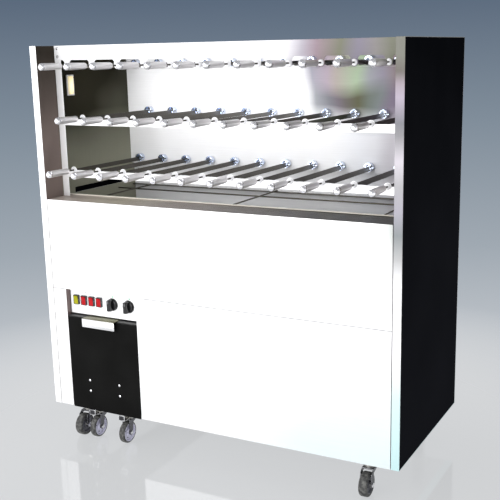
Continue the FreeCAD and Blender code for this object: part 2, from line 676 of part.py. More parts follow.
def make_base_frame():
    """Floor sheets round the trolley slot, beams, bay lining, guide rails and caster plates."""
    floor = BODY_BOTTOM
    t = 2.0
    solids = [
        box(INNER_LEFT, SLOT_LEFT, 4, BAY_BACK, floor, floor + t),
        box(SLOT_RIGHT, INNER_RIGHT, 4, DEPTH - SHEET, floor, floor + t),
        box(INNER_LEFT, SLOT_RIGHT, BAY_BACK, DEPTH - SHEET, floor, floor + t),
        box(SLOT_RIGHT + SHEET, INNER_RIGHT, 4, 34, floor + t, floor + 32),
        box(INNER_LEFT, INNER_RIGHT, 640, 670, floor + t, floor + 32),
        box(SLOT_LEFT - SHEET, SLOT_LEFT, TROLLEY_FLANGE + 2, BAY_BACK, floor + t, BAY_TOP),
        box(SLOT_RIGHT, SLOT_RIGHT + SHEET, 6, BAY_BACK, floor + t, BAY_TOP),
        box(SLOT_LEFT - SHEET, SLOT_RIGHT + SHEET, BAY_BACK, BAY_BACK + SHEET, floor + t, BAY_TOP),
        box(SLOT_LEFT, SLOT_LEFT + 12, 250, BAY_BACK, floor + 2, BIN_BOTTOM - 0.5),
        box(SLOT_RIGHT - 12, SLOT_RIGHT, 250, BAY_BACK, floor + 2, BIN_BOTTOM - 0.5),
    ]
    neck = FRONT_AXLE_Y + TRAIL
    for x in CASTER_X:
        plate = box(x - PLATE_HALF, x + PLATE_HALF, neck - 45, neck + 45, floor - PLATE_T, floor)
        pin = rod(KINGPIN_R, (x, neck, WHEEL_R * 2 + 7), (x, neck, floor - PLATE_T))
        solids.append(plate.fuse(pin).removeSplitter())
        rear = fork(x, REAR_AXLE_Y, 0.0, WHEEL_R, WHEEL_W, floor - PLATE_T, AXLE_R)
        mount = box(x - PLATE_HALF, x + PLATE_HALF, REAR_AXLE_Y - 45, REAR_AXLE_Y + 45,
                    floor - PLATE_T, floor)
        solids.append(rear.fuse(mount).removeSplitter())
    save("base_frame", solids)


def make_trolley():
    """Roll-out bin: front plate, welded bin sheets, bent handle and two caster forks."""
    t = 2.0
    right = TROLLEY_RIGHT
    solids = [
        box(TROLLEY_LEFT, right, 0, t, TROLLEY_BOTTOM, TROLLEY_TOP - t),
        box(TROLLEY_LEFT, right, 0, TROLLEY_FLANGE, TROLLEY_TOP - t, TROLLEY_TOP),
        box(BIN_LEFT, right, t, BIN_BACK, BIN_BOTTOM, BIN_BOTTOM + SHEET),
        box(BIN_LEFT, BIN_LEFT + SHEET, t, BIN_BACK, BIN_BOTTOM + SHEET, BIN_TOP),
        box(right - SHEET, right, t, BIN_BACK, BIN_BOTTOM + SHEET, BIN_TOP),
        box(BIN_LEFT + SHEET, right - SHEET, BIN_BACK - SHEET, BIN_BACK, BIN_BOTTOM + SHEET, BIN_TOP),
        box(HANDLE_X[0], HANDLE_X[1], -HANDLE_REACH, TROLLEY_FLANGE, TROLLEY_TOP,
            TROLLEY_TOP + HANDLE_T),
        box(HANDLE_X[0], HANDLE_X[1], -HANDLE_REACH, HANDLE_T - HANDLE_REACH,
            TROLLEY_TOP - HANDLE_DROP, TROLLEY_TOP),
    ]
    for x in TROLLEY_CASTER_X:
        caster = fork(x, TROLLEY_AXLE_Y, TROLLEY_TRAIL, TROLLEY_WHEEL_R, TROLLEY_WHEEL_W,
                      BIN_BOTTOM, AXLE_R - 1)
        solids.append(caster.fuse(brake_pedal(x)).removeSplitter())
    save("trolley", solids)


os.makedirs("parts", exist_ok=True)
make_skewers()
make_side_walls()
make_back_wall()
make_rear_cover()
make_roof()
make_rails()
make_front_panels()
make_burner_bed()
make_row_drives()
make_lamp()
make_control_panel()
make_switches()
make_knobs()
make_casters()
make_base_frame()
make_trolley()
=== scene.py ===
"""Looks of the skewer rotisserie oven: finishes, fine pieces, studio and camera.

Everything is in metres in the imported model's frame: +Z up, front faces -Y, origin on the floor.
The helper at() takes cabinet millimetres: x from the left face, y from the front plane
towards the back, z from the bottom of the cabinet body.
"""
from math import asin, cos, pi, radians, sin, sqrt, tau

import bmesh
import bpy
from mathutils import Matrix, Vector


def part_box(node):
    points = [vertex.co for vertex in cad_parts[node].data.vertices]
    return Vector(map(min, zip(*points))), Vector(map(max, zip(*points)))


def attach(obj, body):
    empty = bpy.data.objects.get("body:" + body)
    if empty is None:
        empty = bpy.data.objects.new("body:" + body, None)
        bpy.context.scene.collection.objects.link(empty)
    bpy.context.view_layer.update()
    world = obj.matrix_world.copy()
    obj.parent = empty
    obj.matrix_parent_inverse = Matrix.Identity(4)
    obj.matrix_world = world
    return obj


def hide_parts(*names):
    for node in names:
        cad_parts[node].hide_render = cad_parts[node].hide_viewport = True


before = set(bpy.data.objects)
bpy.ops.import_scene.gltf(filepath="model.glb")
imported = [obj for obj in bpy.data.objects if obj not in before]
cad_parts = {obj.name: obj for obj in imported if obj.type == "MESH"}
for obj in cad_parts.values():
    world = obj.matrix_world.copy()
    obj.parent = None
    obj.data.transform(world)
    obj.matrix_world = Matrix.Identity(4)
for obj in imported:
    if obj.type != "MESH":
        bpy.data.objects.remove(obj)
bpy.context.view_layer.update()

MM = 0.001

# --- driving places, taken from the frame ---
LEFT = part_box("side_walls")[0].x
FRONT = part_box("front_panels")[0].y
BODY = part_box("side_walls")[0].z
WIDTH = (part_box("side_walls")[1].x - LEFT) / MM
HEIGHT = (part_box("side_walls")[1].z - BODY) / MM
DEPTH = (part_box("side_walls")[1].y - FRONT) / MM
SHARP = radians(32)


def at(x, y, z):
    """Cabinet millimetres to a point of the frame."""
    return Vector((LEFT + x * MM, FRONT + y * MM, BODY + z * MM))


def x_of(x):
    """Cabinet x to the frame's."""
    return at(x, 0, 0).x


def y_of(y):
    """Cabinet y to the frame's."""
    return at(0, y, 0).y


def z_of(z):
    """Cabinet z to the frame's."""
    return at(0, 0, z).z


# --- finishes ---
def ramp(tree, value, low, high, stops):
    """Colour that runs through (place, colour) stops as a value goes from low to high."""
    spread = tree.nodes.new("ShaderNodeMapRange")
    spread.inputs["From Min"].default_value = low
    spread.inputs["From Max"].default_value = high
    tree.links.new(value, spread.inputs["Value"])
    node = tree.nodes.new("ShaderNodeValToRGB")
    elements = node.color_ramp.elements
    places = [(place - low) / (high - low) for place, color in stops]
    for element, k in ((elements[0], 0), (elements[1], -1)):
        element.position = places[k]
        element.color = (*stops[k][1], 1.0)
    for place, (_, color) in zip(places[1:-1], stops[1:-1]):
        elements.new(place).color = (*color, 1.0)
    tree.links.new(spread.outputs["Result"], node.inputs["Fac"])
    return node.outputs["Color"]


class Finish:
    """A Principled material and the few texture steps that the finishes share."""

    def __init__(self, name, color, metallic, roughness, **sockets):
        self.material = bpy.data.materials.new("finish_" + name)
        self.material.use_nodes = True
        self.tree = self.material.node_tree
        self.shader = self.tree.nodes["Principled BSDF"]
        self.shader.inputs["Base Color"].default_value = (*color, 1.0)
        self.shader.inputs["Metallic"].default_value = metallic
        self.shader.inputs["Roughness"].default_value = roughness
        for name, value in sockets.items():
            self.shader.inputs[name.replace("_", " ")].default_value = value
        self.place = self.tree.nodes.new("ShaderNodeTexCoord").outputs["Object"]

    def add(self, kind, **inputs):
        """New node with its inputs linked or set."""
        node = self.tree.nodes.new(kind)
        for name, value in inputs.items():
            self.feed(node.inputs[name], value)
        return node

    def feed(self, socket, value):
        """Links a socket, or sets its own value."""
        if isinstance(value, bpy.types.NodeSocket):
            self.tree.links.new(value, socket)
        else:
            socket.default_value = value

    def into(self, name, value):
        """Drives one input of the shader."""
        self.feed(self.shader.inputs[name], value)

    def tint(self, value):
        """Drives the base colour."""
        self.into("Base Color", value)

    def stretched(self, x, y, z):
        """Object coordinates scaled along each axis."""
        return self.add("ShaderNodeMapping", Vector=self.place, Scale=(x, y, z)).outputs["Vector"]

    def noise(self, scale, detail=3.0, stretch=(1, 1, 1)):
        """Cloudy value from 0 to 1."""
        place = self.stretched(*stretch)
        return self.add("ShaderNodeTexNoise", Vector=place, Scale=scale, Detail=detail).outputs["Fac"]

    def axis(self, letter):
        """One coordinate in metres."""
        return self.add("ShaderNodeSeparateXYZ", Vector=self.place).outputs[letter]

    def remap(self, value, low, high, to_low=0.0, to_high=1.0):
        """Value from one range to another, clamped."""
        node = self.add("ShaderNodeMapRange", Value=value)
        ends = {"From Min": low, "From Max": high, "To Min": to_low, "To Max": to_high}
        for name, number in ends.items():
            node.inputs[name].default_value = number
        return node.outputs["Result"]

    def calc(self, operation, a, b):
        """Arithmetic on two values."""
        node = self.add("ShaderNodeMath")
        node.operation = operation
        self.feed(node.inputs[0], a)
        self.feed(node.inputs[1], b)
        return node.outputs["Value"]

    def spot(self, centre, radii):
        """Soft blob round a point: 1 in the middle, 0 at its edge."""
        scale = [1.0 / r for r in radii]
        offset = [-c * s for c, s in zip(centre, scale)]
        moved = self.add("ShaderNodeMapping", Vector=self.place, Scale=scale, Location=offset)
        length = self.add("ShaderNodeVectorMath", Vector=moved.outputs["Vector"])
        length.operation = "LENGTH"
        return self.remap(length.outputs["Value"], 1.0, 0.0)

    def mix(self, factor, a, b, blend="MIX"):
        """Two colours mixed by a value."""
        node = self.tree.nodes.new("ShaderNodeMix")
        node.data_type = "RGBA"
        node.blend_type = blend
        self.feed(node.inputs[0], factor)
        self.feed(node.inputs[6], a if not isinstance(a, tuple) else (*a, 1.0))
        self.feed(node.inputs[7], b if not isinstance(b, tuple) else (*b, 1.0))
        return node.outputs[2]

    def bump(self, height, distance, strength=1.0):
        """Relief of a given depth in metres."""
        node = self.add("ShaderNodeBump", Height=height, Distance=distance, Strength=strength)
        self.into("Normal", node.outputs["Normal"])


def brushed(name, color, roughness, along, depth=0.00003, tone=0.05, metallic=1.0, **sockets):
    """Steel with fine brushing lines along one axis and faint handling clouds."""
    finish = Finish(name, color, metallic, roughness, **sockets)
    stretch = {"X": (2, 260, 260), "Y": (260, 2, 260), "Z": (260, 260, 2)}[along]
    lines = finish.noise(3.0, 2.0, stretch)
    clouds = finish.noise(4.0)
    dark = tuple(c * (1.0 - 2.0 * tone) for c in color)
    shade = finish.mix(finish.remap(lines, 0.3, 0.7), dark, color)
    shade = finish.mix(finish.remap(clouds, 0.45, 0.75, 0.0, 0.35), shade, dark)
    finish.tint(shade)
    finish.into("Roughness", finish.remap(lines, 0.3, 0.7, roughness - 0.05, roughness + 0.07))
    finish.bump(lines, depth)
    finish.shade = shade
    return finish


def steel(name, color, roughness, along, **rest):
    """Plain brushed finish."""
    return brushed(name, color, roughness, along, **rest).material


STEEL = (0.93, 0.93, 0.94)
SATIN = 0.35


def front_steel():
    """Bright front sheets, with a painted pale cyan reflection low at the right and a painted greenish
    reflection at the upper right corner.
    """
    finish = brushed("front_steel", STEEL, 0.36, "X", tone=0.03, metallic=SATIN)
    # painted pale cyan reflection low at the right
    cool_reflection = finish.remap(finish.spot(at(1420, 0, 40), (0.75, 1.0, 0.34)), 0.0, 0.6, 0.0, 0.34)
    shade = finish.mix(cool_reflection, finish.shade, (0.30, 0.52, 0.53))
    # painted greenish reflection at the upper right corner
    green = finish.remap(finish.spot(at(1500, 0, 845), (0.12, 1.0, 0.20)), 0.0, 0.8, 0.0, 0.75)
    finish.tint(finish.mix(green, shade, (0.05, 0.08, 0.055)))
    return finish.material


def across(tints):
    """Stops of a gradient over the width, from cabinet millimetres."""
    return [(x_of(x), tint) for x, tint in tints]


def upward(tints):
    """Stops of a gradient over the height, from cabinet millimetres."""
    return [(z_of(z), tint) for z, tint in tints]


def painted_reflection_sheet(name, along):
    """Bright sheet with little shine, ready to take painted reflections as coloured bands."""
    return brushed(name, STEEL, 0.40, along, tone=0.03, metallic=0.0, Specular_IOR_Level=0.1)


WHITE = (0.90, 0.90, 0.90)


def wall_steel():
    """Chamber back sheets: bright on the left, with painted reflections in darker coloured bands towards the
    right.
    """
    finish = painted_reflection_sheet("back_steel", "X")
    left = x_of(0)
    right = x_of(WIDTH)
    drift = finish.remap(finish.noise(5.0, 1.0), 0.25, 0.75, -0.02, 0.02)
    place = finish.calc("ADD", finish.axis("X"), drift)
    height = finish.calc("ADD", finish.axis("Z"), drift)
    # painted reflections: colour bands across the width for the upper, middle and lower parts of the wall
    upper = ramp(finish.tree, place, left, right, across((
        (0, WHITE), (860, WHITE), (925, (0.32, 0.31, 0.36)), (1000, (0.36, 0.30, 0.35)),
        (1045, (0.35, 0.31, 0.28)), (1125, (0.31, 0.39, 0.27)), (1165, (0.27, 0.28, 0.30)),
        (1206, (0.24, 0.22, 0.27)), (1260, (0.22, 0.17, 0.17)), (1500, (0.20, 0.17, 0.16)),
    )))
    middle = ramp(finish.tree, place, left, right, across((
        (0, WHITE), (880, WHITE), (940, (0.28, 0.29, 0.31)), (1000, (0.17, 0.17, 0.19)),
        (1045, (0.14, 0.12, 0.14)), (1083, (0.11, 0.10, 0.09)), (1125, (0.09, 0.09, 0.05)),
        (1166, (0.12, 0.14, 0.12)), (1206, (0.15, 0.17, 0.17)), (1250, (0.17, 0.14, 0.19)),
        (1500, (0.16, 0.14, 0.17)),
    )))
    lower = ramp(finish.tree, place, left, right, across((
        (0, WHITE), (1000, WHITE), (1125, (0.81, 0.82, 0.85)), (1200, (0.74, 0.74, 0.77)),
        (1260, (0.57, 0.55, 0.59)), (1500, (0.54, 0.53, 0.58)),
    )))
    rise = finish.remap(height, z_of(1235), z_of(1300))
    fall = finish.remap(height, z_of(1090), z_of(1200))
    bands = finish.mix(fall, lower, finish.mix(rise, middle, upper))
    finish.tint(finish.mix(1.0, finish.shade, bands, "MULTIPLY"))
    return finish.material


def fascia_steel():
    """Front top band: bright, turning greyer at the right, with painted reflections in coloured patches
    there.
    """
    finish = painted_reflection_sheet("fascia_steel", "X")
    drift = finish.remap(finish.noise(7.0, 1.0), 0.25, 0.75, -0.012, 0.012)
    place = finish.calc("ADD", finish.axis("X"), drift)
    # painted reflections: greyer and coloured patches towards the right
    bands = ramp(finish.tree, place, x_of(0), x_of(WIDTH), across((
        (0, WHITE), (1000, WHITE), (1095, (0.43, 0.40, 0.45)), (1160, (0.30, 0.23, 0.26)),
        (1247, (0.185, 0.19, 0.135)), (1303, (0.23, 0.21, 0.26)), (1359, (0.25, 0.235, 0.23)),
        (1413, (0.20, 0.205, 0.155)), (1500, (0.21, 0.20, 0.18)),
    )))
    finish.tint(finish.mix(1.0, finish.shade, bands, "MULTIPLY"))
    return finish.material


def inner_steel():
    """Chamber side faces: bright steel under painted reflections, darkest in the upper middle, brownish-pink
    near the front.
    """
    base = (0.36, 0.36, 0.28)
    finish = brushed("inner_steel", base, 0.42, "Z", tone=0.04, metallic=0.0, Specular_IOR_Level=0.05)
    # painted dark reflection, darkest up high
    height = finish.remap(finish.axis("Z"), z_of(930), z_of(1190))
    drift = finish.remap(finish.noise(2.4, 1.5), 0.25, 0.75, -0.2, 0.2)
    height = finish.calc("ADD", height, drift)
    shade = finish.mix(height, finish.shade, (0.009, 0.007, 0.003))
    # painted reflection clouds in a dark greenish brown
    olive_reflection = finish.calc("MULTIPLY", finish.noise(3.0, 1.0), 0.35)
    shade = finish.mix(olive_reflection, shade, (0.030, 0.032, 0.016))
    # painted brownish-pink reflection near the front, fading upwards
    front = finish.remap(finish.axis("Y"), y_of(112), y_of(96))
    lower = finish.remap(finish.axis("Z"), z_of(1420), z_of(1080), 0.12, 1.0)
    warm_reflection = finish.calc("MULTIPLY", front, lower)
    finish.tint(finish.mix(warm_reflection, shade, (0.185, 0.145, 0.130)))
    return finish.material


def ledge_steel():
    """Top of the fire box: painted dark reflection in browns, lightest at the left, with a painted highlight
    spot and a pale cream painted highlight along the lip.
    """
    base = (0.40, 0.345, 0.31)
    finish = brushed("ledge_steel", base, 0.30, "X", tone=0.10, metallic=0.0, Specular_IOR_Level=0.1)
    # painted dark reflection, darker towards the right
    right = finish.remap(finish.axis("X"), x_of(200), x_of(1150))
    shade = finish.mix(right, finish.shade, (0.020, 0.017, 0.012))
    # painted highlight: a pale spot at the left of the ledge
    pale = finish.calc("MULTIPLY", finish.spot(at(330, 60, 855), (0.24, 0.3, 1.0)), 0.6)
    shade = finish.mix(pale, shade, (0.46, 0.43, 0.33))
    # painted highlight along the top of the lip
    lip = finish.remap(finish.axis("Z"), z_of(856), z_of(857.5))
    finish.tint(finish.mix(lip, shade, (0.78, 0.75, 0.66)))
    return finish.material


def end_steel():
    """Front edges of the side walls: the right one carries painted reflections in coloured bands from bottom
    to top.
    """
    finish = painted_reflection_sheet("edge_steel", "Z")
    # painted reflections in bands up the right front edge
    bands = ramp(finish.tree, finish.axis("Z"), z_of(0), z_of(HEIGHT), upward((
        (0, (0.55, 0.78, 0.78)), (250, (0.64, 0.80, 0.80)), (400, WHITE), (650, WHITE),
        (740, (0.46, 0.46, 0.46)), (820, (0.25, 0.27, 0.275)), (900, (0.375, 0.36, 0.41)),
        (980, (0.40, 0.395, 0.405)), (1060, (0.57, 0.54, 0.58)), (1140, (0.27, 0.265, 0.275)),
        (1180, (0.21, 0.21, 0.23)), (1260, (0.41, 0.36, 0.43)), (1300, (0.35, 0.30, 0.335)),
        (1340, (0.16, 0.145, 0.13)), (1390, (0.20, 0.20, 0.17)), (1445, (0.20, 0.20, 0.17)),
    )))
    side = finish.remap(finish.axis("X"), x_of(700), x_of(1400))
    tint = finish.mix(1.0, finish.shade, bands, "MULTIPLY")
    finish.tint(finish.mix(side, finish.shade, tint))
    return finish.material


def painted(name, color, roughness, grain=900.0, **sockets):
    """Powder coat: fine orange peel, faint wear clouds."""
    finish = Finish(name, color, 0.0, roughness, **sockets)
    peel = finish.noise(grain, 2.0)
    clouds = finish.noise(6.0)
    lighter = tuple(min(1.0, c * 1.25 + 0.002) for c in color)
    finish.tint(finish.mix(finish.remap(clouds, 0.3, 0.75), color, lighter))
    finish.into("Roughness", finish.remap(peel, 0.3, 0.7, roughness - 0.06, roughness + 0.06))
    finish.bump(peel, 0.00004)
    return finish


def cover_paint():
    """Matt black side covers, with painted light making them a touch lighter low down."""
    finish = painted("cover_paint", (0.003, 0.003, 0.004), 0.70, Specular_IOR_Level=0.0)
    # painted light: lighter towards the bottom
    low = finish.remap(finish.axis("Z"), z_of(HEIGHT), z_of(0))
    drift = finish.remap(finish.noise(3.0), 0.3, 0.7, -0.12, 0.12)
    level = finish.calc("ADD", low, drift)
    finish.tint(finish.mix(level, (0.0030, 0.0033, 0.0042), (0.0105, 0.0110, 0.0135)))
    return finish.material


def plastic(name, color, roughness, **sockets):
    """Moulded plastic: very fine grain and soft tone changes."""
    finish = Finish(name, color, 0.0, roughness, **sockets)
    grain = finish.noise(1800.0, 2.0)
    clouds = finish.noise(60.0)
    darker = tuple(c * 0.82 for c in color)
    finish.tint(finish.mix(finish.remap(clouds, 0.35, 0.7), color, darker))
    finish.into("Roughness", finish.remap(grain, 0.3, 0.7, roughness - 0.04, roughness + 0.06))
    finish.bump(grain, 0.00001)
    return finish.material


def zinc(name, color, roughness):
    """Galvanised steel with small crystal spangle."""
    finish = Finish(name, color, 1.0, roughness)
    cells = finish.add("ShaderNodeTexVoronoi", Vector=finish.place, Scale=260.0)
    tone = finish.remap(cells.outputs["Color"], 0.0, 1.0, 0.0, 1.0)
    darker = tuple(c * 0.72 for c in color)
    finish.tint(finish.mix(tone, color, darker))
    rough = finish.remap(finish.noise(120.0), 0.3, 0.7, roughness - 0.06, roughness + 0.1)
    finish.into("Roughness", rough)
    return finish.material


def rubber():
    """Tyre tread: dull dark rubber with dust on it."""
    finish = Finish("rubber", (0.05, 0.05, 0.048), 0.0, 0.62, Specular_IOR_Level=0.35)
    dust = finish.remap(finish.noise(90.0, 5.0), 0.4, 0.75)
    finish.tint(finish.mix(dust, (0.04, 0.04, 0.04), (0.16, 0.16, 0.15)))
    finish.bump(finish.noise(700.0), 0.00008)
    return finish.material


def lamp_lens():
    """Frosted cream lens that glows faintly, with fine ribs across it."""
    finish = Finish("lamp_lens", (0.90, 0.72, 0.38), 0.0, 0.35)
    ribs = finish.add("ShaderNodeTexWave", Vector=finish.place, Scale=90.0)
    ribs.bands_direction = "Z"
    glow = finish.spot(at(44, 181, 1291), (0.5, 0.05, 0.06))
    shade = finish.mix(glow, (0.86, 0.66, 0.32), (0.98, 0.90, 0.62))
    finish.tint(shade)
    finish.into("Emission Color", shade)
    finish.shader.inputs["Emission Strength"].default_value = 0.45
    finish.bump(ribs.outputs["Fac"], 0.0003)
    return finish.material


FRONT_STEEL = front_steel()
WALL_STEEL = wall_steel()
FASCIA_STEEL = fascia_steel()
INNER_STEEL = inner_steel()
LEDGE_STEEL = ledge_steel()
END_STEEL = end_steel()
# dark brownish-pink on the bay's side lining is painted shade and reflection on bright steel
BAY_STEEL = steel("bay_steel", (0.20, 0.145, 0.135), 0.36, "Z", metallic=0.3)
RAIL_STEEL = steel("rail_steel", STEEL, 0.34, "X", tone=0.03, metallic=SATIN)
POST_STEEL = steel("post_steel", STEEL, 0.34, "Z", tone=0.03, metallic=SATIN)
FRAME_STEEL = steel("frame_steel", (0.55, 0.55, 0.56), 0.38, "X")
PIPE_STEEL = steel("burner_steel", (0.20, 0.18, 0.155), 0.42, "X", tone=0.15)
BAR_STEEL = steel("bar_steel", (0.13, 0.12, 0.095), 0.40, "Y", tone=0.12)
PAN_STEEL = steel("pan_steel", (0.92, 0.91, 0.94), 0.14, "X", tone=0.03)
# near-black greenish brown on the blades and rods is a painted dark reflection of the room above
BLADE_STEEL = steel("blade_steel", (0.060, 0.053, 0.042), 0.36, "Y", tone=0.2)
GRIP_COLOR = (0.74, 0.72, 0.725)
GRIP_STEEL = steel("grip_steel", GRIP_COLOR, 0.34, "Y", tone=0.06, metallic=0.6)
CAP_STEEL = steel("cap_steel", (0.93, 0.93, 0.96), 0.24, "Y")
CHROME = steel("chrome", (0.72, 0.79, 0.93), 0.12, "Y", depth=0.00001)
COLLAR = plastic("collar", (0.86, 0.86, 0.88), 0.35)
COVER_PAINT = cover_paint()
TROLLEY_DARK = (0.0065, 0.0065, 0.0063)
TROLLEY_PAINT = painted("trolley_paint", TROLLEY_DARK, 0.70, 1400.0, Specular_IOR_Level=0.015).material
# lighter copy of the black trolley paint: a painted highlight along the folded top edge and flange
TROLLEY_EDGE_HIGHLIGHT = painted("trolley_edge_highlight", (0.045, 0.045, 0.045), 0.40, 1400.0).material
PANEL_PAINT = painted("panel_paint", (0.88, 0.88, 0.89), 0.40).material
# the handle strap's dark greenish-brown top is a painted reflection of the room above
HANDLE_TOP_REFLECTION = steel("handle_top_reflection", (0.20, 0.195, 0.12), 0.35, "X", tone=0.12)
HANDLE_LIP = steel("handle_lip", STEEL, 0.28, "X")
DRIVE_PAINT = painted("drive_paint", (0.10, 0.105, 0.12), 0.45).material
YELLOW = plastic("yellow", (0.34, 0.33, 0.006), 0.34, Specular_IOR_Level=0.2)
RED = plastic("red", (0.44, 0.007, 0.011), 0.34, Specular_IOR_Level=0.15)
HOUSING = plastic("housing", (0.012, 0.012, 0.016), 0.30)
KNOB = plastic("knob", (0.005, 0.005, 0.006), 0.14, Specular_IOR_Level=0.5)
GREY_INK = plastic("grey_ink", (0.42, 0.42, 0.44), 0.5)
GREEN_INK = plastic("green_ink", (0.12, 0.62, 0.30), 0.5)
ZINC = zinc("zinc", (0.62, 0.61, 0.58), 0.36)
FORK_STEEL = zinc("fork_steel", (0.17, 0.17, 0.18), 0.30)
SCREW = zinc("screw", (0.55, 0.55, 0.56), 0.28)
BRIGHT_SCREW = zinc("bright_screw", (0.86, 0.86, 0.88), 0.22)
BRASS = zinc("brass", (0.72, 0.50, 0.20), 0.30)
RUBBER = rubber()
HUB_PALE = plastic("hub_pale", (0.72, 0.71, 0.86), 0.35)
HUB_DARK = plastic("hub_dark", (0.10, 0.10, 0.115), 0.40)
LAMP_LENS = lamp_lens()
LAMP_FRAME = plastic("lamp_frame", (0.78, 0.78, 0.78), 0.35)
GLAND = plastic("gland", (0.02, 0.02, 0.022), 0.40)


# --- shapes ---
def block(low, high, bevel=0.0006):
    """Box between two points with rounded edges."""
    part = bmesh.new()
    bmesh.ops.create_cube(part, size=1.0)
    size = Vector(high) - Vector(low)
    middle = (Vector(high) + Vector(low)) / 2.0
    for corner in part.verts:
        corner.co = middle + Vector([c * s for c, s in zip(corner.co, size)])
    bmesh.ops.bevel(part, geom=part.edges[:], offset=bevel, segments=2, profile=0.5, affect="EDGES")
    return part


def lathe(profile, steps=40, ripple=0.0, waves=0):
    """Closed solid of revolution about Y from (distance, radius) pairs, with optional flutes."""
    part = bmesh.new()
    rings = []
    for y, radius in profile:
        if radius == 0:
            rings.append([part.verts.new((0, y, 0))])
            continue
        ring = []
        for i in range(steps):
            turn = tau * i / steps
            r = radius * (1.0 - ripple * (0.5 - 0.5 * cos(waves * turn)))
            ring.append(part.verts.new((r * sin(turn), y, r * cos(turn))))
        rings.append(ring)
    for near, far in zip(rings, rings[1:]):
        skin(part, near, far)
    if len(rings[0]) == 1:
        return part
    skin(part, rings[-1], rings[0])
    return part


def skin(part, near, far):
    """Faces between two rings; a ring of one point makes a fan."""
    count = max(len(near), len(far))
    for i in range(count):
        j = (i + 1) % count
        corners = [near[i % len(near)], near[j % len(near)], far[j % len(far)], far[i % len(far)]]
        corners = [c for k, c in enumerate(corners) if c not in corners[:k]]
        part.faces.new(corners)


def dome(tip, radius, steps=7):
    """Quarter-circle profile from the tip at a distance out to the full radius."""
    points = []
    for i in range(steps + 1):
        turn = pi / 2.0 * i / steps
        points.append((tip + radius * (1.0 - cos(turn)), radius * sin(turn)))
    return points


def prism(outline, sweep, bevel=0.0):
    """Flat outline of points swept along a vector, with optional rounded edges."""
    part = bmesh.new()
    near = [part.verts.new(p) for p in outline]
    far = [part.verts.new(Vector(p) + Vector(sweep)) for p in outline]
    part.faces.new(near)
    part.faces.new(list(reversed(far)))
    skin(part, far, near)
    if bevel:
        bmesh.ops.bevel(part, geom=part.edges[:], offset=bevel, segments=2, profile=0.5, affect="EDGES")
    return part


def loft(sections):
    """Closed solid through rings of points with the same count."""
    part = bmesh.new()
    rings = [[part.verts.new(p) for p in ring] for ring in sections]
    for near, far in zip(rings, rings[1:]):
        skin(part, near, far)
    part.faces.new(list(reversed(rings[0])))
    part.faces.new(rings[-1])
    return part


def scaled(profile, factor=MM):
    """Profile in millimetres to metres."""
    return [(y * factor, r * factor) for y, r in profile]


def moved(part, offset):
    """Part shifted by a vector."""
    bmesh.ops.translate(part, vec=Vector(offset), verts=part.verts)
    return part


def aimed(part, axis, offset):
    """Part made along +Y, turned to point along an axis and then moved."""
    turn = Vector((0, 1, 0)).rotation_difference(Vector(axis)).to_matrix()
    bmesh.ops.rotate(part, matrix=turn, verts=part.verts)
    return moved(part, offset)


def join(whole, part):
    """Takes one shape into another."""
    scratch = bpy.data.meshes.new("scratch")
    part.to_mesh(scratch)
    whole.from_mesh(scratch)
    bpy.data.meshes.remove(scratch)
    part.free()


class Piece:
    """One visible piece: shapes joined in one mesh, each face with its own finish."""

    def __init__(self, name):
        self.name = name
        self.whole = bmesh.new()
        self.finishes = []

    def add(self, part, finish):
        """Takes a shape into the piece."""
        if finish not in self.finishes:
            self.finishes.append(finish)
        bmesh.ops.recalc_face_normals(part, faces=part.faces)
        for face in part.faces:
            face.material_index = self.finishes.index(finish)
            face.smooth = True
        join(self.whole, part)

    def turn(self, profile, steps, axis, centre, finish):
        """Takes in a solid of revolution from a profile in millimetres."""
        self.add(aimed(lathe(scaled(profile), steps), axis, centre), finish)

    def box(self, low, high, bevel, finish):
        """Takes in a box between two places in cabinet millimetres."""
        self.add(block(at(*low), at(*high), bevel), finish)

    def mesh(self):
        """Finished mesh with crisp edges where faces meet at an angle."""
        mesh = bpy.data.meshes.new(self.name)
        self.whole.to_mesh(mesh)
        for finish in self.finishes:
            mesh.materials.append(finish)
        mesh.set_sharp_from_angle(angle=SHARP)
        return mesh

    def place(self, body, slot, *nodes):
        """Puts the piece in the scene on a body, standing for CAD nodes if any."""
        return put(self.name, self.mesh(), Vector((0, 0, 0)), body, slot, *nodes)


def put(name, mesh, location, body, slot, *nodes):
    """Object from a mesh, riding on a body."""
    thing = bpy.data.objects.new(name, mesh)
    thing.location = location
    bpy.context.scene.collection.objects.link(thing)
    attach(thing, body)
    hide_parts(*nodes)
    return thing


def screw(piece, point, radius, axis=(0, -1, 0), finish=SCREW):
    """Low domed screw head with a cross recess, standing out along an axis."""
    shares = [(-0.3, 0.0), (-0.3, 0.72), (0.0, 1.0), (0.16, 0.96), (0.34, 0.74), (0.42, 0.42)]
    shares += [(0.22, 0.34), (0.22, 0.0)]
    piece.add(aimed(lathe(scaled(shares, radius), 20), axis, point), finish)


# --- sheet metal carried from the CAD ---
def dress(node, finishes, choose, bevel=0.0004):
    """Gives a CAD node finishes chosen per face, every face flat shaded, and soft edges where a bevel width
    is given.
    """
    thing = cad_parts[node]
    mesh = thing.data
    mesh.materials.clear()
    for finish in finishes:
        mesh.materials.append(finish)
    for face in mesh.polygons:
        face.material_index = choose(face.center, face.normal)
        face.use_smooth = False
    if bevel:
        weld = thing.modifiers.new("weld", "WELD")
        weld.merge_threshold = 0.00001
        edge = thing.modifiers.new("edge", "BEVEL")
        edge.width = bevel
        edge.segments = 2
        edge.limit_method = "ANGLE"
        edge.angle_limit = SHARP


def wall_finish(centre, normal):
    """Side walls: 1 on the chamber faces, 0 on the edges and outside."""
    low = x_of(29) - 0.002
    high = x_of(WIDTH - 29) + 0.002
    inside = low < centre.x < high and centre.y > y_of(5)
    return 1 if inside and abs(normal.x) > 0.5 else 0


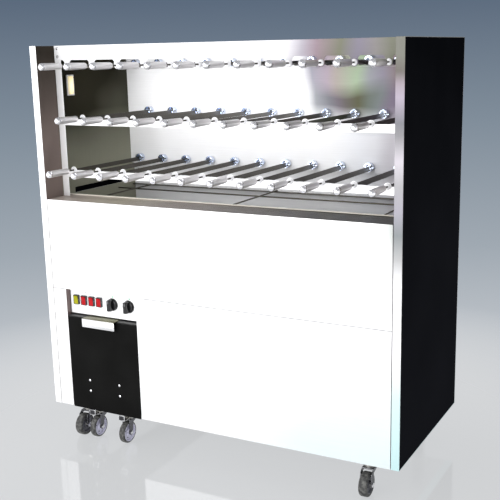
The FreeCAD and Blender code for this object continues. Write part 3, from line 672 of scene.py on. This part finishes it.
def front_finish(centre, normal):
    """Front sheets: 2 on the bay lining, 1 on the ledge, 0 elsewhere."""
    if normal.x > 0.5 and abs(centre.x - x_of(95)) < 0.001:
        return 2
    on_ledge = centre.z > z_of(853) and centre.y > y_of(1)
    return 1 if on_ledge and normal.z > -0.5 else 0


def bed_finish(centre, normal):
    """Burner bed: 3 on the gas stub, 2 on the grate bars, 1 on the burners, 0 on the pan."""
    if centre.y > y_of(DEPTH - 5):
        return 3
    if centre.z > z_of(832):
        return 2
    return 1 if centre.z > z_of(645) else 0


def dress_cabinet():
    """Chooses the finish of every sheet by where it is and which way it faces."""
    behind = y_of(DEPTH + 0.5)
    roof_z = z_of(1440)
    post_x = x_of(WIDTH - 62)
    bezel_y = y_of(24.9)
    bearing_y = y_of(611)
    below = z_of(-0.1)
    dress("side_walls", [END_STEEL, INNER_STEEL], wall_finish)
    dress("side_covers", [COVER_PAINT], lambda c, n: 0)
    dress("back_wall", [WALL_STEEL], lambda c, n: 0)
    dress("rear_cover", [POST_STEEL, GLAND], lambda c, n: 1 if c.y > behind else 0)
    dress("roof_hood", [FASCIA_STEEL, FRAME_STEEL], lambda c, n: 1 if abs(n.z) > 0.5 and c.z > roof_z else 0)
    dress("skewer_rails", [RAIL_STEEL, POST_STEEL], lambda c, n: 1 if abs(c.x) > post_x else 0)
    dress("front_panels", [FRONT_STEEL, LEDGE_STEEL, BAY_STEEL], front_finish)
    dress("control_panel", [PANEL_PAINT, HOUSING], lambda c, n: 1 if c.y < bezel_y else 0)
    dress("burner_bed", [PAN_STEEL, PIPE_STEEL, BAR_STEEL, BRASS], bed_finish)
    dress("row_drives", [DRIVE_PAINT, ZINC], lambda c, n: 1 if c.y < bearing_y else 0, 0.0)
    dress("base_frame", [FRAME_STEEL, ZINC], lambda c, n: 1 if c.z < below else 0)


# --- skewers ---
GRIP_TIP = -54.0
GRIP_R = 14.0
TAIL_R = 11.8
GRIP_END = 67.0
ROD_R = 3.2
BLADE_FROM = 122.0
BLADE_FULL = 185.0
BLADE_NARROW = 540.0
TANG_FROM = 543.0
BLADE_TO = 562.0
BLADE_HALF = 15.0
BLADE_TIP_HALF = 3.0
TANG_HALF = 4.2
BLADE_TOP = 4.2
BLADE_T = 2.2
CUP_R = 17.5
CUP_BORE = 12.5
CUP_FROM = 545.0
CUP_SLOT_TO = 560.0
CUP_TO = 572.0
SLOT_HALF = 2.5
SPINDLE_R = 6.0
SPINDLE_TO = 610.0
SPROCKET_R = 22.0
SPROCKET_TEETH = 16
SPROCKET_FROM = 600.0
SPROCKET_TO = 606.0
TOOTH = 3.5
COLLAR_FROM = 102.2
COLLAR_TO = 109.8


def blade_section(y, half):
    """Inverted-V section of the blade at one distance."""
    top = BLADE_TOP
    low = top - half
    inner = BLADE_T * sqrt(2.0)
    flat = min(inner, half * 0.8)
    points = [(-half, low), (-0.6, top - 0.3), (0.6, top - 0.3), (half, low), (half - flat, low)]
    points += [(0.4, top - flat), (-0.4, top - flat), (-half + flat, low)]
    return [(x * MM, y * MM, z * MM) for x, z in points]


def ring_sector(inner, outer, start, end, from_turn, to_turn, steps=8):
    """Curved block: part of a ring about Y between two angles."""
    sections = []
    chamfer = 1.2
    outline = [(inner, start), (outer - chamfer, start), (outer, start + chamfer)]
    outline += [(outer, end), (inner, end)]
    for i in range(steps + 1):
        turn = from_turn + (to_turn - from_turn) * i / steps
        aside = sin(turn) * MM
        up = cos(turn) * MM
        sections.append([(r * aside, y * MM, r * up) for r, y in outline])
    return loft(sections)


def toothed_disc(start, end):
    """Chain wheel with tapered teeth."""
    outline = []
    for i in range(SPROCKET_TEETH * 4):
        radius = SPROCKET_R if i % 4 in (0, 1) else SPROCKET_R - TOOTH
        turn = tau * (i + 0.5) / (SPROCKET_TEETH * 4)
        outline.append((radius * sin(turn) * MM, start * MM, radius * cos(turn) * MM))
    return prism(outline, (0, (end - start) * MM, 0))


def grip_shapes(piece):
    """Domed steel cap and fluted grip that tapers to its back end."""
    seam = GRIP_TIP + GRIP_R + 3.0
    cap = dome(GRIP_TIP, GRIP_R) + [(seam, GRIP_R), (seam + 0.6, GRIP_R - 0.9), (seam + 0.6, 0.0)]
    piece.add(lathe(scaled(cap)), CAP_STEEL)
    body = [(seam, 0.0), (seam, GRIP_R - 1.6), (seam + 1.2, GRIP_R - 0.4), (seam + 8.0, GRIP_R - 0.4)]
    body += [(GRIP_END - 5.0, TAIL_R), (GRIP_END - 2.4, TAIL_R - 0.9), (GRIP_END - 0.8, TAIL_R - 2.6)]
    body += [(GRIP_END, TAIL_R - 5.0), (GRIP_END, 0.0)]
    piece.add(lathe(scaled(body), 48, 0.035, 8), GRIP_STEEL)


def rod_shapes(piece):
    """Ferrule, round rod, grooved collar and the angle blade with its tang."""
    ferrule = [(GRIP_END - 1, 0.0), (GRIP_END - 1, 5.4), (GRIP_END + 4, 5.0), (GRIP_END + 5, ROD_R)]
    piece.add(lathe(scaled(ferrule + [(GRIP_END + 5, 0.0)]), 24), ZINC)
    inside = BLADE_FROM + 30.0
    rod = [(GRIP_END + 4, 0.0), (GRIP_END + 4, ROD_R), (inside, ROD_R), (inside + 4.0, 0.0)]
    piece.add(lathe(scaled(rod), 20), BLADE_STEEL)
    half = [(0.0, ROD_R), (0.0, 9.6), (1.0, 10.8), (2.6, 11.0), (3.0, 10.2)]
    collar = [(COLLAR_FROM + y, r) for y, r in half] + [(COLLAR_TO - y, r) for y, r in reversed(half)]
    piece.add(lathe(scaled(collar), 32), COLLAR)
    stations = (
        (BLADE_FROM, BLADE_TIP_HALF), (BLADE_FULL, BLADE_HALF), (BLADE_NARROW, BLADE_HALF),
        (TANG_FROM, TANG_HALF), (BLADE_TO, TANG_HALF),
    )
    piece.add(loft([blade_section(y, half) for y, half in stations]), BLADE_STEEL)


def chuck_shapes(piece):
    """Cup with four slots, its base, the spindle and the sprocket behind the wall."""
    gap = asin(SLOT_HALF / CUP_R)
    quarter = pi / 2.0
    for i in range(4):
        start = i * quarter
        sector = ring_sector(CUP_BORE, CUP_R, CUP_FROM, CUP_SLOT_TO, start + gap, start + quarter - gap)
        piece.add(sector, CHROME)
    floor = CUP_SLOT_TO + 5.0
    rim = CUP_SLOT_TO - 0.2
    base = [(floor, 0.0), (floor, CUP_BORE - 0.2), (rim, CUP_BORE), (rim, CUP_R), (CUP_TO - 3.0, CUP_R)]
    base += [(CUP_TO - 0.8, CUP_R - 1.2), (CUP_TO, CUP_R - 3.0), (CUP_TO, 0.0)]
    piece.add(lathe(scaled(base)), CHROME)
    spindle = [(CUP_TO - 1, 0.0), (CUP_TO - 1, SPINDLE_R), (SPINDLE_TO - 1, SPINDLE_R)]
    spindle += [(SPINDLE_TO, SPINDLE_R - 1), (SPINDLE_TO, 0.0)]
    piece.add(lathe(scaled(spindle), 24), CHROME)
    piece.add(toothed_disc(SPROCKET_FROM, SPROCKET_TO), ZINC)


def skewer_mesh():
    """Grip, rod, blade, drive cup and sprocket about the Y axis."""
    piece = Piece("skewer")
    grip_shapes(piece)
    rod_shapes(piece)
    chuck_shapes(piece)
    return piece.mesh()


def place_skewers():
    """The same skewer on every axis, each riding on its own body."""
    mesh = skewer_mesh()
    for node in sorted(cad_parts):
        if not node.startswith("skewer_") or node == "skewer_rails":
            continue
        low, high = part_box(node)
        axis = Vector(((low.x + high.x) / 2.0, FRONT, (low.z + high.z) / 2.0))
        put(node + "_looks", mesh, axis, node, "skewer_steel", node)


# --- knobs and switches ---
KNOB_GAP = 20.5
KNOB_SKIRT = 10.0
KNOB_SHAFT_R = 4.0


def knob_skirt(back, radius):
    """Profile of the round skirt, its front edge drawn in."""
    rim = [(0.0, 0.6), (0.8, 0.0), (4.0, 0.3), (8.0, 1.4), (9.6, 2.8), (KNOB_SKIRT, 4.4)]
    points = [(back, 0.0)] + [(back - y, radius - inset) for y, inset in rim]
    return points + [(back - KNOB_SKIRT, 0.0)]


def knob_bar(middle, reach, back, tip):
    """Grip bar: ends rounded to the skirt, sides drawn in towards the front."""
    rings = []
    levels = ((back, 9.0, 0.0), (tip + 5.0, 8.4, 0.4), (tip + 1.6, 7.8, 1.2), (tip, 6.2, 3.0))
    for y, half, inset in levels:
        outer = reach - inset
        ring = []
        corner = asin(min(1.0, half / outer))
        for side in (0.0, pi):
            for i in range(9):
                turn = side - corner + 2.0 * corner * i / 8.0
                ring.append(middle + Vector((outer * sin(turn), y, outer * cos(turn))) * MM)
        rings.append(ring)
    return loft(rings)


def place_knobs():
    """Skirted knobs with a thick grip bar, a pointer line and a shaft."""
    for node in ("knob_left", "knob_right"):
        low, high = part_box(node)
        middle = Vector(((low.x + high.x) / 2.0, high.y, (low.z + high.z) / 2.0))
        radius = (high.z - low.z) / 2.0 / MM
        tip = (low.y - high.y) / MM
        back = -KNOB_GAP
        piece = Piece(node + "_looks")
        piece.turn(knob_skirt(back, radius), 56, (0, 1, 0), middle, KNOB)
        piece.add(knob_bar(middle, radius - 2.2, back - 8.6, tip), KNOB)
        shaft = [(0.0, 0.0), (0.0, KNOB_SHAFT_R - 0.4), (-0.6, KNOB_SHAFT_R), (back - 1.0, KNOB_SHAFT_R)]
        piece.turn(shaft + [(back - 1.0, 0.0)], 20, (0, 1, 0), middle, ZINC)
        line_low = middle + Vector((-0.8, tip - 0.02, 8.0)) * MM
        line_high = middle + Vector((0.8, tip + 1.0, 19.0)) * MM
        piece.add(block(line_low, line_high, 0.0002), GREY_INK)
        piece.place(node, "knob_black", node)


SWITCH_Y = 19.0
SWITCH_Z = 451.5
ROCKER_HALF_W = 10.0
ROCKER_HALF_H = 16.3
ROCKER_BACK = 4.6
ROCKER_FACE = -4.3
ROCKER_DISH = 2.0
ROCKER_TILT = radians(7.0)
ROCKER_STEPS = 10
RIB_FIRST = 8.0
RIB_PITCH = 2.4


def rocker_shape():
    """Dished rocker about its pivot, with three ribs at each end."""
    outline = [(-ROCKER_HALF_H, ROCKER_BACK)]
    for i in range(ROCKER_STEPS + 1):
        t = -1.0 + 2.0 * i / ROCKER_STEPS
        outline.append((ROCKER_HALF_H * t, ROCKER_FACE - ROCKER_DISH * t * t))
    outline.append((ROCKER_HALF_H, ROCKER_BACK))
    points = [Vector((-ROCKER_HALF_W, y, z)) * MM for z, y in outline]
    body = prism(points, (2.0 * ROCKER_HALF_W * MM, 0, 0), 0.0004)
    for sign in (-1, 1):
        for k in range(3):
            z = sign * (RIB_FIRST + RIB_PITCH * k)
            y = ROCKER_FACE - 0.15 - ROCKER_DISH * (z / ROCKER_HALF_H) ** 2
            low = Vector((-6.5, y - 0.2, z - 0.4)) * MM
            high = Vector((6.5, y + 1.0, z + 0.4)) * MM
            join(body, block(low, high, 0.0001))
    bmesh.ops.rotate(body, matrix=Matrix.Rotation(ROCKER_TILT, 3, "X"), verts=body.verts)
    return body


def place_switches():
    """Rockers on their pins in the black housings."""
    names = ("switch_yellow", "switch_red_1", "switch_red_2", "switch_red_3")
    pin = [(-11.7, 0.0), (-11.7, 1.5), (11.7, 1.5), (11.7, 0.0)]
    for node, finish in zip(names, (YELLOW, RED, RED, RED)):
        low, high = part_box(node)
        pivot = at(0, SWITCH_Y, SWITCH_Z)
        pivot.x = (low.x + high.x) / 2.0
        piece = Piece(node + "_looks")
        piece.add(moved(rocker_shape(), pivot), finish)
        piece.turn(pin, 16, (1, 0, 0), pivot, ZINC)
        piece.place(node, node.rstrip("_0123456789"), node)


PANEL_Y = 24.95
GREY_MARKS = (
    (129.5, 477.0), (160.0, 482.0), (175.0, 482.0), (196.5, 478.0), (211.0, 478.0),
    (234.5, 473.8), (248.5, 473.8), (288.0, 479.0), (370.0, 478.5),
)
GREEN_MARKS = ((305.5, 479.25), (386.0, 479.25))


def place_panel_marks():
    """Small printed ticks over the switches and knobs."""
    piece = Piece("panel_marks")
    rows = ((GREY_MARKS, 2.2, 1.8, GREY_INK), (GREEN_MARKS, 2.6, 2.75, GREEN_INK))
    for marks, half_w, half_h, ink in rows:
        for x, z in marks:
            low = (x - half_w, PANEL_Y - 0.05, z - half_h)
            high = (x + half_w, PANEL_Y + 0.05, z + half_h)
            piece.box(low, high, 0.00002, ink)
    piece.place("cabinet", "panel_white")


# --- lamp ---
def place_lamp():
    """Bezel frame, domed lens and two screws on the left wall."""
    piece = Piece("lamp_looks")
    piece.box((30, 164, 1250), (36.5, 206, 1332), 0.0024, LAMP_FRAME)
    piece.box((34, 168.5, 1255.5), (44, 194.5, 1326.5), 0.0040, LAMP_LENS)
    for z in (1262, 1320):
        screw(piece, at(36.6, 200.5, z), 0.0028, (1, 0, 0))
    piece.place("cabinet", "lamp_cream", "chamber_lamp")


# --- wheels and casters ---
WHEEL_R = 44.5
WIDE = 32.0
SLIM = 26.0
WIDE_AXLE = 6.0
SLIM_AXLE = 5.0
WIDE_RIM = 0.76
SLIM_RIM = 0.84
CASTER_X = (127.0, WIDTH - 127.0)
CASTER_AXLE_Y = 22.0
CASTER_TRAIL = 35.0
TROLLEY_CASTER_X = (193.5, 338.5)
TROLLEY_AXLE_Y = 30.0
TROLLEY_TRAIL = 22.0
FLOOR = -BODY / MM
CROWN_T = 5.0
LEG_T = 3.0
FORK_CLEAR = 3.0
FORK_REACH = 26.0
FORK_BACK = 22.0
LEG_HALF = 10.8
RACE_R = 22.0


def tyre_profile(rim, half):
    """Rounded tread with shoulders, closed at the rim."""
    tread = [(0.0, rim)] + [(y, WHEEL_R - dip) for y, dip in ((0.0, 6.0), (1.2, 3.0), (3.4, 0.9), (6.5, 0.1))]
    near = [(y - half, r) for y, r in tread]
    return near + [(0.0, WHEEL_R)] + [(half - y, r) for y, r in reversed(tread)]


def wheel_shapes(piece, centre, width, axle, hub_finish, bolts, rim_share):
    """Tyre, dished hub with a ring of small bolts if any, and a bore sleeve round the axle."""
    half = width / 2.0
    rim = WHEEL_R * rim_share
    piece.turn(tyre_profile(rim, half), 56, (1, 0, 0), centre, RUBBER)
    lip = rim - 3.0
    boss = axle + 7.0
    hub = [(1.0, boss - 3), (1.0, boss - 0.8), (1.8, boss), (7.0, boss + 2), (7.5, lip - 4), (2.0, lip - 1)]
    hub += [(0.8, lip), (0.8, rim)]
    profile = [(y - half, r) for y, r in hub] + [(half - y, r) for y, r in reversed(hub)]
    piece.turn(profile, 56, (1, 0, 0), centre, hub_finish)
    ring = (boss + lip) / 2.0
    bolt = [(-1.0, 0.0), (-1.0, 2.6), (0.6, 2.6), (1.2, 1.8), (1.2, 0.0)]
    for side in (-1, 1):
        for i in range(bolts):
            turn = tau * (i + 0.25) / bolts
            spot = centre + Vector((side * (half - 6.9), ring * sin(turn), ring * cos(turn))) * MM
            piece.turn(bolt, 14, (side, 0, 0), spot, HUB_DARK)
    end = half - 0.4
    sleeve = [(-end, axle + 0.1), (-end, axle + 3.6), (end, axle + 3.6), (end, axle + 0.1)]
    piece.turn(sleeve, 28, (1, 0, 0), centre, ZINC)


def place_wheels():
    """Two pairs on their axles and two single front wheels."""
    wheels = (
        ("rear_wheels", 2, WIDE, WIDE_AXLE, HUB_DARK, 0, WIDE_RIM),
        ("trolley_wheels", 2, SLIM, SLIM_AXLE, HUB_PALE, 4, SLIM_RIM),
        ("caster_front_left_wheel", 1, WIDE, WIDE_AXLE, HUB_DARK, 0, WIDE_RIM),
        ("caster_front_right_wheel", 1, WIDE, WIDE_AXLE, HUB_DARK, 0, WIDE_RIM),
    )
    for node, count, width, axle, hub, bolts, share in wheels:
        low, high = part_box(node)
        inset = width * MM / 2.0
        piece = Piece(node + "_looks")
        for x in (low.x + inset, high.x - inset)[:count]:
            centre = Vector((x, (low.y + high.y) / 2.0, (low.z + high.z) / 2.0))
            wheel_shapes(piece, centre, width, axle, hub, bolts, share)
        piece.place(node, "tyre_dark", node)


def fork_leg(front, back, axle_y, low, foot):
    """Outline of one leg: wide at the crown, drawn in to a round foot at the axle."""
    outline = [(front, low + 4), (back, low + 4), (back, low), (axle_y + 16.0, low - 10)]
    outline.append((axle_y + LEG_HALF, WHEEL_R))
    for i in range(7):
        turn = radians(-12.0 - 156.0 * i / 6.0)
        outline.append((axle_y + (LEG_HALF - 0.2) * cos(turn), WHEEL_R + foot * sin(turn) * 0.98))
    return outline + [(axle_y - LEG_HALF, WHEEL_R), (axle_y - 6.0, low - 10), (front, low)]


def fork_shapes(piece, x, axle_y, trail, width, axle, crown_top):
    """Pressed caster fork: folded crown, raceway, two tapered legs, axle bolt and nuts."""
    gap = width / 2.0 + FORK_CLEAR
    outside = gap + LEG_T
    low = WHEEL_R * 2.0 + 6.0
    high = FLOOR + low + CROWN_T
    neck = axle_y + trail
    front = neck - FORK_REACH
    back = neck + FORK_BACK
    piece.box((x - outside, front, FLOOR + low), (x + outside, back, high), 0.0018, FORK_STEEL)
    outline = fork_leg(front, back, axle_y, low, axle * 2.0 + 1.0)
    for side in (-1, 1):
        points = [at(x + side * gap, y, FLOOR + z) for y, z in outline]
        piece.add(prism(points, (side * LEG_T * MM, 0, 0), 0.0005), FORK_STEEL)
    centre = at(x, axle_y, FLOOR + WHEEL_R)
    end = outside + 5.0
    tip = [(end, 0.0), (end, axle - 0.8), (end - 0.8, axle)]
    bolt = [(-y, r) for y, r in tip] + tip[::-1]
    piece.turn(bolt, 24, (1, 0, 0), centre, BRIGHT_SCREW)
    nut = [(0.0, 0.0), (0.0, axle + 3.4), (3.6, axle + 3.4), (4.2, axle + 2.4), (4.2, 0.0)]
    for side in (-1, 1):
        spot = centre + Vector((side * outside * MM, 0, 0))
        piece.turn(nut, 6, (side, 0, 0), spot, BRIGHT_SCREW)
    rise = crown_top - low - CROWN_T
    race = [(0.0, 0.0), (0.0, RACE_R - 1.0), (rise * 0.25, RACE_R), (rise * 0.7, RACE_R)]
    race += [(rise * 0.85, RACE_R - 1.5), (rise, RACE_R - 2.5), (rise, 0.0)]
    piece.turn(race, 44, (0, 0, 1), at(x, neck, high), ZINC)


def place_casters():
    """Front forks that swivel, each on its own body."""
    for side, x in zip(("left", "right"), CASTER_X):
        node = "caster_front_%s_fork" % side
        piece = Piece(node + "_looks")
        fork_shapes(piece, x, CASTER_AXLE_Y, CASTER_TRAIL, WIDE, WIDE_AXLE, -FLOOR - 5.5)
        piece.place(node, "zinc", node)


# --- trolley ---
PLATE_LEFT = 97.5
PLATE_RIGHT = 431.5
PLATE_LOW = -3.0
PLATE_TOP = 387.0
FLANGE_BACK = 30.0
SHEET = 2.0
BIN_LEFT = 172.0
BIN_BACK = 520.0
BIN_LOW = 12.0
BIN_TOP = 381.0
BIN_SHEET = 1.5
HANDLE = (184.0, 340.0)
HANDLE_FRONT = -22.0
HANDLE_LOW = 355.0
HANDLE_T = 3.0
HANDLE_ROUND = 9.0
PEDAL_Z = FLOOR + 104.0
PEDAL_HALF = 14.0
PEDAL_H = 22.0
PEDAL_FRONT = -6.0
PEDAL_BACK = -3.0
PEDAL_ARM_END = 40.0


def place_trolley():
    """Powder-coated front plate with folded edges, bin, bent handle, casters and screws."""
    piece = Piece("trolley_looks")
    piece.box((PLATE_LEFT, 0, PLATE_LOW), (PLATE_RIGHT, SHEET, PLATE_TOP - 1), 0.0006, TROLLEY_PAINT)
    bend = [(SHEET, PLATE_TOP - 4.0), (0.0, PLATE_TOP - 4.0)]
    for i in range(6):
        turn = radians(180.0 - 90.0 * i / 5.0)
        bend.append((3.0 + 3.0 * cos(turn), PLATE_TOP - 3.0 + 3.0 * sin(turn)))
    bend += [(FLANGE_BACK, PLATE_TOP), (FLANGE_BACK, PLATE_TOP - SHEET), (3.5, PLATE_TOP - SHEET)]
    flange = prism([at(PLATE_LEFT, y, z) for y, z in bend], ((PLATE_RIGHT - PLATE_LEFT) * MM, 0, 0))
    # the flange's lighter paint is a painted highlight
    piece.add(flange, TROLLEY_EDGE_HIGHLIGHT)
    side_low = BIN_LOW + 1
    bins = (
        ((BIN_LEFT, SHEET, BIN_LOW), (PLATE_RIGHT, BIN_BACK, BIN_LOW + BIN_SHEET)),
        ((BIN_LEFT, SHEET, side_low), (BIN_LEFT + BIN_SHEET, BIN_BACK, BIN_TOP)),
        ((PLATE_RIGHT - BIN_SHEET, SHEET, side_low), (PLATE_RIGHT, BIN_BACK, BIN_TOP)),
        ((BIN_LEFT, BIN_BACK - BIN_SHEET, side_low), (PLATE_RIGHT, BIN_BACK, BIN_TOP)),
    )
    for low, high in bins:
        piece.box(low, high, 0.0004, TROLLEY_PAINT)
    place_handle(piece)
    for x in TROLLEY_CASTER_X:
        fork_shapes(piece, x, TROLLEY_AXLE_Y, TROLLEY_TRAIL, SLIM, SLIM_AXLE, -FLOOR + BIN_LOW)
        pedal(piece, x)
    for x in (188.0, 333.5):
        for z in (123.0, 78.0):
            screw(piece, at(x, 0, z), 0.0052, finish=BRIGHT_SCREW)
    piece.place("trolley", "trolley_black", "trolley")


def place_handle(piece):
    """Flat top strap welded to the flange, bent down at the front into a lip with one round corner."""
    x0, x1 = HANDLE
    strap = [(x0, FLANGE_BACK), (x1 - 4, FLANGE_BACK), (x1 - 1, HANDLE_FRONT + 1), (x0, HANDLE_FRONT + 1)]
    points = [at(x, y, PLATE_TOP) for x, y in strap]
    # the strap's dark top is a painted reflection
    piece.add(prism(points, (0, 0, HANDLE_T * MM), 0.0003), HANDLE_TOP_REFLECTION)
    top = PLATE_TOP + HANDLE_T - 1.0
    outline = [(x0, top), (x0, HANDLE_LOW + 2), (x0 + 2, HANDLE_LOW), (x1, HANDLE_LOW)]
    for i in range(7):
        turn = radians(90.0 * i / 6.0)
        across_x = x1 - HANDLE_ROUND + HANDLE_ROUND * cos(turn)
        outline.append((across_x, top - HANDLE_ROUND + HANDLE_ROUND * sin(turn)))
    points = [at(x, HANDLE_FRONT, z) for x, z in outline]
    piece.add(prism(points, (0, HANDLE_T * MM, 0), 0.0005), HANDLE_LIP)


def pedal(piece, x):
    """Bent foot lever under the front plate: light rim round a dark pad, arm back to the raceway."""
    top = PEDAL_Z + PEDAL_H
    piece.box((x - PEDAL_HALF, -5, PEDAL_Z), (x + PEDAL_HALF, PEDAL_ARM_END, PEDAL_Z + 2), 0.0004, ZINC)
    for side in (-1, 1):
        edge = x + side * (PEDAL_HALF - 1)
        low = (edge - 1, PEDAL_FRONT, PEDAL_Z + 1)
        piece.box(low, (edge + 1, PEDAL_BACK, top - 1), 0.0005, BRIGHT_SCREW)
    half = PEDAL_HALF - 0.8
    for z in (PEDAL_Z, top - 2):
        piece.box((x - half, PEDAL_FRONT, z), (x + half, PEDAL_BACK, z + 2), 0.0005, BRIGHT_SCREW)
    half = PEDAL_HALF - 1.6
    piece.box((x - half, -4.6, PEDAL_Z + 1), (x + half, -3.4, top - 1), 0.0003, HOUSING)


# --- small parts on the cabinet ---
def place_screws():
    """Fascia, rear cover and lower back panel screws."""
    piece = Piece("cabinet_screws")
    for x in (45.0, WIDTH - 45.0):
        for z in (1435.0, 1403.0):
            screw(piece, at(x, 105, z), 0.0060)
    screw(piece, at(52, 596, 905), 0.0035)
    rows = 6
    for i in range(rows):
        z = 30.0 + (HEIGHT - 60.0) * i / (rows - 1)
        for x in (42.0, WIDTH / 2.0, WIDTH - 42.0):
            screw(piece, at(x, DEPTH, z), 0.0042, (0, 1, 0))
    piece.place("cabinet", "zinc")


LOUVRE_X = (200.0, 640.0, 1080.0)
LOUVRE_Z = (980.0, 1300.0)
LOUVRE_PITCH = 16.0
LOUVRE_LONG = 218.0
LOUVRE_SECTION = ((0.0, 6.6), (2.6, 6.0), (5.4, 1.4), (5.0, 0.8), (2.0, 5.2), (0.0, 5.8))


def place_louvres():
    """Pressed hoods over the rear cover's slots."""
    piece = Piece("rear_louvres")
    for x in LOUVRE_X:
        for level in LOUVRE_Z:
            for i in range(6):
                z = level + i * LOUVRE_PITCH
                points = [at(x + 1, DEPTH + out, z + up) for out, up in LOUVRE_SECTION]
                piece.add(prism(points, (LOUVRE_LONG * MM, 0, 0), 0.00015), POST_STEEL)
    piece.place("cabinet", "stainless_front")


# --- studio ---
def build_floor():
    """Pale sheet that fades into the backdrop away from the machine."""
    part = bmesh.new()
    bmesh.ops.create_circle(part, cap_ends=True, segments=64, radius=9.0)
    mesh = bpy.data.meshes.new("studio_floor")
    part.to_mesh(mesh)
    part.free()
    floor = bpy.data.objects.new("studio_floor", mesh)
    floor.location.z = -0.0008
    bpy.context.scene.collection.objects.link(floor)
    finish = Finish("studio_pale", (0.10, 0.10, 0.10), 0.0, 0.07)
    finish.into("Roughness", finish.remap(finish.noise(3.0), 0.3, 0.7, 0.055, 0.085))
    finish.shader.inputs["Emission Color"].default_value = (0.96, 0.98, 1.0, 1.0)
    finish.shader.inputs["Emission Strength"].default_value = 0.55
    mesh.materials.append(finish.material)
    fade = finish.spot((0.0, 0.0, 0.0), (2.6, 2.6, 1.0))
    clear = finish.add("ShaderNodeBsdfTransparent")
    blend = finish.add("ShaderNodeMixShader")
    finish.feed(blend.inputs[0], finish.remap(fade, 0.15, 0.60))
    finish.feed(blend.inputs[1], clear.outputs["BSDF"])
    finish.feed(blend.inputs[2], finish.shader.outputs["BSDF"])
    finish.feed(finish.tree.nodes["Material Output"].inputs["Surface"], blend.outputs["Shader"])


def linear(r, g, b):
    """Screen colour from 0-255 to linear light."""
    values = [c / 255.0 for c in (r, g, b)]
    return tuple(v / 12.92 if v <= 0.04045 else ((v + 0.055) / 1.055) ** 2.4 for v in values)


def build_backdrop():
    """Sky the camera sees as a grey-blue fade, and a soft pale room that lights the machine."""
    world = bpy.data.worlds.new("studio_room")
    bpy.context.scene.world = world
    world.use_nodes = True
    tree = world.node_tree
    nodes = tree.nodes
    nodes.clear()
    direction = nodes.new("ShaderNodeTexCoord").outputs["Generated"]
    split = nodes.new("ShaderNodeSeparateXYZ")
    tree.links.new(direction, split.inputs["Vector"])
    seen = ramp(tree, split.outputs["Z"], -0.48, 0.06, (
        (-0.48, linear(228, 229, 231)), (-0.345, linear(200, 204, 209)), (-0.21, linear(160, 169, 178)),
        (-0.075, linear(128, 141, 154)), (0.06, linear(90, 105, 124)),
    ))
    room = ramp(tree, split.outputs["Z"], -1.0, 1.0, (
        (-1.0, (1.30, 1.30, 1.32)), (0.02, (1.30, 1.30, 1.32)),
        (0.16, (0.55, 0.56, 0.58)), (1.0, (0.45, 0.45, 0.46)),
    ))
    path = nodes.new("ShaderNodeLightPath").outputs["Is Camera Ray"]
    surfaces = []
    for color in (room, seen):
        background = nodes.new("ShaderNodeBackground")
        tree.links.new(color, background.inputs["Color"])
        surfaces.append(background.outputs["Background"])
    blend = nodes.new("ShaderNodeMixShader")
    tree.links.new(path, blend.inputs[0])
    tree.links.new(surfaces[0], blend.inputs[1])
    tree.links.new(surfaces[1], blend.inputs[2])
    output = nodes.new("ShaderNodeOutputWorld")
    tree.links.new(blend.outputs["Shader"], output.inputs["Surface"])


def softbox(name, location, target, size, power):
    """Rectangular area light of a width and height, aimed at a point."""
    light = bpy.data.lights.new(name, "AREA")
    light.shape = "RECTANGLE"
    light.size, light.size_y = size
    light.energy = power
    lamp = bpy.data.objects.new(name, light)
    lamp.location = location
    lamp.visible_camera = False
    lamp.rotation_euler = (Vector(target) - Vector(location)).to_track_quat("-Z", "Y").to_euler()
    bpy.context.scene.collection.objects.link(lamp)


def build_camera():
    """Long lens at standing eye height, to the front right of the machine."""
    data = bpy.data.cameras.new("view")
    data.lens = 64.56
    data.sensor_width = 36.0
    data.shift_x = -0.02866
    data.shift_y = 0.00674
    yaw = radians(27.831)
    pitch = radians(12.742)
    roll = radians(1.175)
    ahead = Vector((-sin(yaw) * cos(pitch), cos(yaw) * cos(pitch), -sin(pitch)))
    right = Vector((cos(yaw), sin(yaw), 0.0))
    down = ahead.cross(right)
    level = cos(roll) * right + sin(roll) * down
    fall = -sin(roll) * right + cos(roll) * down
    turn = Matrix((level, -fall, -ahead)).transposed()
    camera = bpy.data.objects.new("view", data)
    camera.matrix_world = Matrix.Translation((1.6729, -3.0217, 1.5388)) @ turn.to_4x4()
    bpy.context.scene.collection.objects.link(camera)
    bpy.context.scene.camera = camera


dress_cabinet()
place_skewers()
place_knobs()
place_switches()
place_panel_marks()
place_lamp()
place_wheels()
place_casters()
place_trolley()
place_screws()
place_louvres()
build_floor()
build_backdrop()
softbox("key_light", (-0.6, -3.6, 1.5), (0.0, 0.0, 1.0), (3.0, 3.0), 115.0)
softbox("fill_light", (-2.6, -2.0, 2.6), (0.0, 0.0, 0.7), (2.4, 2.4), 30.0)
softbox("chamber_glow", (0.0, -0.05, 1.53), (0.0, 0.25, 1.1), (1.3, 0.25), 6.0)
build_camera()
scene = bpy.context.scene
scene.view_settings.view_transform = "Standard"
